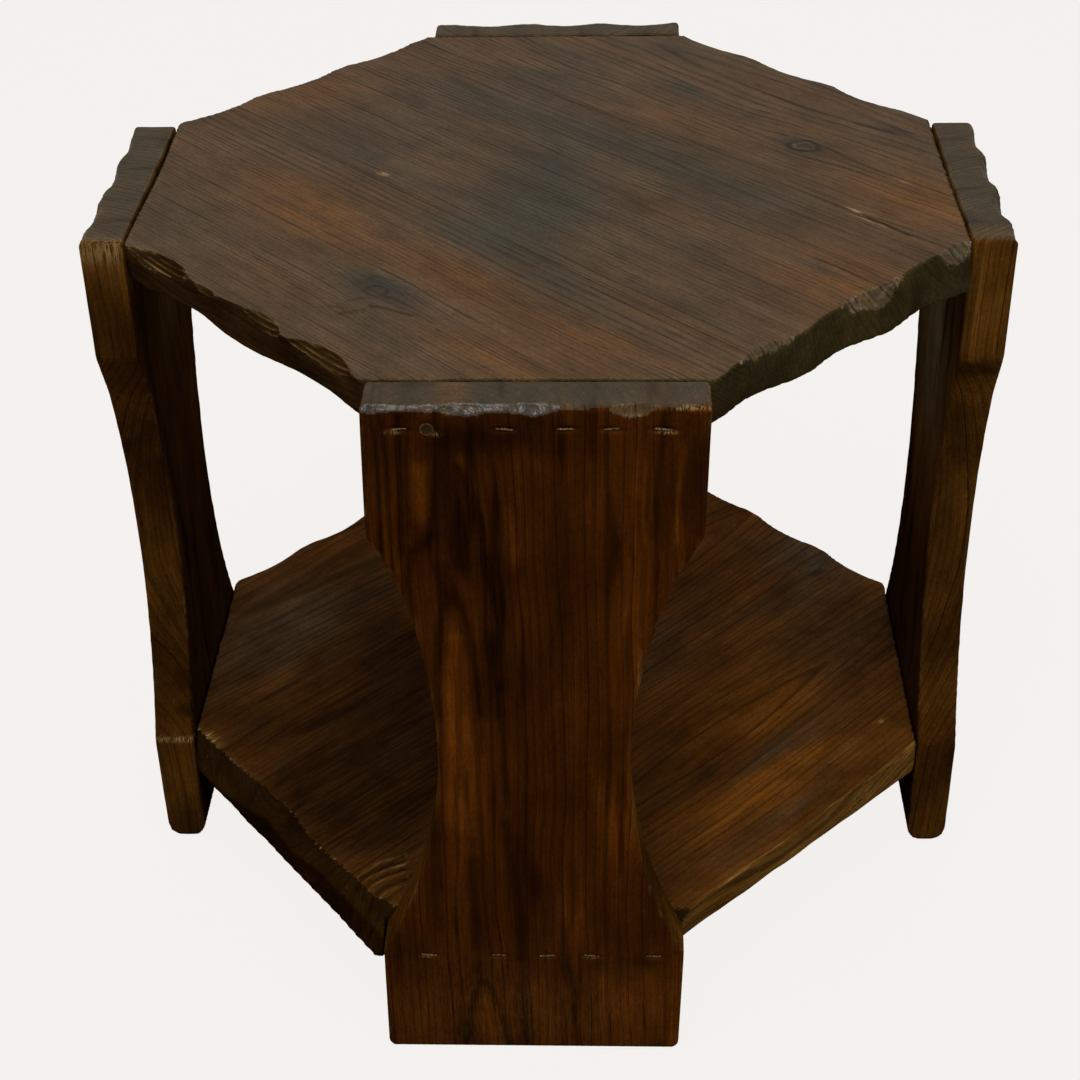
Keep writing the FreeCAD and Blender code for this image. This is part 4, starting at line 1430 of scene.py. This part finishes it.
def build_nail(node, plank):
    points = [(TOP_ROW_LEVEL, NAIL_PLACE, NAIL_OUTLINE[0][1])]
    faces = []
    for (radius, out), step in itertools.product(NAIL_OUTLINE[1:-1], range(NAIL_SIDES)):
        angle = 2 * math.pi * step / NAIL_SIDES
        points.append((TOP_ROW_LEVEL + radius * math.cos(angle), NAIL_PLACE + radius * math.sin(angle), out))
    points.append((TOP_ROW_LEVEL, NAIL_PLACE, NAIL_OUTLINE[-1][1]))
    last = len(points) - 1
    for step in range(NAIL_SIDES):
        following = (step + 1) % NAIL_SIDES
        faces.append((0, 1 + step, 1 + following))
        for upper in range(1, last - NAIL_SIDES, NAIL_SIDES):
            lower = upper + NAIL_SIDES
            faces.append((upper + following, upper + step, lower + step, lower + following))
        faces.append((last - NAIL_SIDES + following, last - NAIL_SIDES + step, last))
    mesh = metal_mesh(f"{node}_forged", points, faces, plank, (NAIL_STEEL, NAIL_RIM))
    mesh.set_sharp_from_angle(angle=NAIL_CREASE)
    for polygon in mesh.polygons:
        reach = math.hypot(polygon.center.x / MM - NAIL_PLACE, polygon.center.z / MM - TOP_ROW_LEVEL)
        polygon.material_index = int(NAIL_RIM_BAND[0] < reach < NAIL_RIM_BAND[1])
    add_piece(f"{node}_forged", mesh, node)


for side, plank in LEG_FRAMES.items():
    for panel, (level, row) in STAPLE_ROWS.items():
        build_staples(f"{side}_leg_{panel}_staples", plank, level, row)
build_nail("front_leg_nail", LEG_FRAMES["front"])


# Dowels keep their CAD shape and get a turned beech finish

def dowel_material():
    nodes = Nodes(bpy.data.materials.new("dowel_wood"))
    place = nodes.add("ShaderNodeTexCoord").outputs["Object"]
    fleck = nodes.noise(place, 900.0, detail=3.0)
    cloud = nodes.noise(place, 60.0)
    colour = nodes.mix(fleck, (0.42, 0.26, 0.12), (0.30, 0.17, 0.07))
    colour = nodes.mix(nodes.times(cloud, 0.5), colour, (0.50, 0.34, 0.18))
    return nodes.finish(colour, nodes.fit(fleck, 0.2, 0.5), fleck, bump=0.3, depth=0.2, gloss=0.5)


DOWEL_WOOD = dowel_material()
for name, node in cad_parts.items():
    if "dowels" in name:
        node.data.materials[0] = DOWEL_WOOD


# Stage, light and camera

CREAM = (0.913, 0.888, 0.863)

# The floor as other surfaces see it, its share in what the camera sees, and its half size in metres
FLOOR_GREY = (0.24, 0.235, 0.23)
FLOOR_SHARE = 0.14
FLOOR_REACH = 6.0

# How strongly the world lights the object. The camera sees it at full strength.
WORLD_LIGHT = 0.45

# Softboxes: place, aim and size in metres, power in watts
SOFTBOXES = {
    "key": ((-0.35, -0.95, 2.6), (0.0, 0.0, 0.4), (1.2, 1.2), 24.0),
    "spark": ((-0.25, -1.25, 2.35), (0.0, 0.0, 0.5), (0.28, 0.28), 4.0),
    "fill": ((1.7, -1.2, 1.9), (0.0, 0.0, 0.3), (1.4, 1.4), 8.0),
    "back": ((0.2, 1.7, 2.6), (0.0, 0.0, 0.4), (1.6, 1.0), 10.0),
}

# The photograph's camera: place in metres, yaw, pitch and roll in degrees, focal length and frame in pixels
CAMERA_PLACE = (0.0405, -1.3614, 1.1396)
CAMERA_TURNS = (-2.18, 33.72, -1.13)
FOCAL_PIXELS = 2001.8
FRAME_PIXELS = 1080.0
SENSOR = 36.0


def floor_material():
    nodes = Nodes(bpy.data.materials.new("floor_paper"))
    for key, value in (("Base Color", (*FLOOR_GREY, 1.0)), ("Roughness", 0.9), ("Specular IOR Level", 0.0)):
        nodes.put(value, nodes.shader.inputs[key])
    rest = [(cream - FLOOR_SHARE * grey) / (1.0 - FLOOR_SHARE) for cream, grey in zip(CREAM, FLOOR_GREY)]
    lit = nodes.add("ShaderNodeEmission", {"Color": (*rest, 1.0)})
    share = nodes.times(nodes.seen(), 1.0 - FLOOR_SHARE)
    blend = nodes.add("ShaderNodeMixShader", {0: share, 1: nodes.shader.outputs[0], 2: lit.outputs[0]})
    nodes.put(blend.outputs[0], nodes.tree.nodes["Material Output"].inputs["Surface"])
    return nodes.owner


def make_floor():
    mesh = bpy.data.meshes.new("floor")
    corners = [(-1, -1), (1, -1), (1, 1), (-1, 1)]
    mesh.from_pydata([(x * FLOOR_REACH, y * FLOOR_REACH, 0) for x, y in corners], [], [(0, 1, 2, 3)])
    mesh.materials.append(floor_material())
    floor = bpy.data.objects.new("floor", mesh)
    bpy.context.collection.objects.link(floor)


def make_world():
    world = bpy.data.worlds.new("studio")
    bpy.context.scene.world = world
    nodes = Nodes(world)
    back = nodes.tree.nodes["Background"].inputs
    nodes.put((*CREAM, 1.0), back["Color"])
    nodes.put(nodes.fit(nodes.seen(), 1.0 - WORLD_LIGHT, WORLD_LIGHT), back["Strength"])


def softbox(name, place, aim, size, power):
    light = bpy.data.lights.new(name, "AREA")
    light.shape = "RECTANGLE"
    light.size, light.size_y = size
    light.energy = power
    lamp = bpy.data.objects.new(name, light)
    lamp.location = place
    lamp.rotation_euler = (Vector(aim) - Vector(place)).to_track_quat("-Z", "Y").to_euler()
    bpy.context.collection.objects.link(lamp)


def make_camera():
    yaw, pitch, roll = (math.radians(angle) for angle in CAMERA_TURNS)
    ahead = Vector((math.sin(yaw) * math.cos(pitch), math.cos(yaw) * math.cos(pitch), -math.sin(pitch)))
    right = Vector((math.cos(yaw), -math.sin(yaw), 0.0))
    upward = right.cross(ahead)
    turned_right = right * math.cos(roll) + upward * math.sin(roll)
    turned_up = upward * math.cos(roll) - right * math.sin(roll)
    camera = bpy.data.cameras.new("camera")
    camera.sensor_width = SENSOR
    camera.lens = SENSOR * FOCAL_PIXELS / FRAME_PIXELS
    viewer = bpy.data.objects.new("camera", camera)
    basis = Matrix((turned_right, turned_up, -ahead)).transposed().to_4x4()
    viewer.matrix_world = Matrix.Translation(CAMERA_PLACE) @ basis
    bpy.context.collection.objects.link(viewer)
    bpy.context.scene.camera = viewer


make_floor()
make_world()
for name, settings in SOFTBOXES.items():
    softbox(name, *settings)
make_camera()

bpy.context.scene.view_settings.view_transform = "Standard"
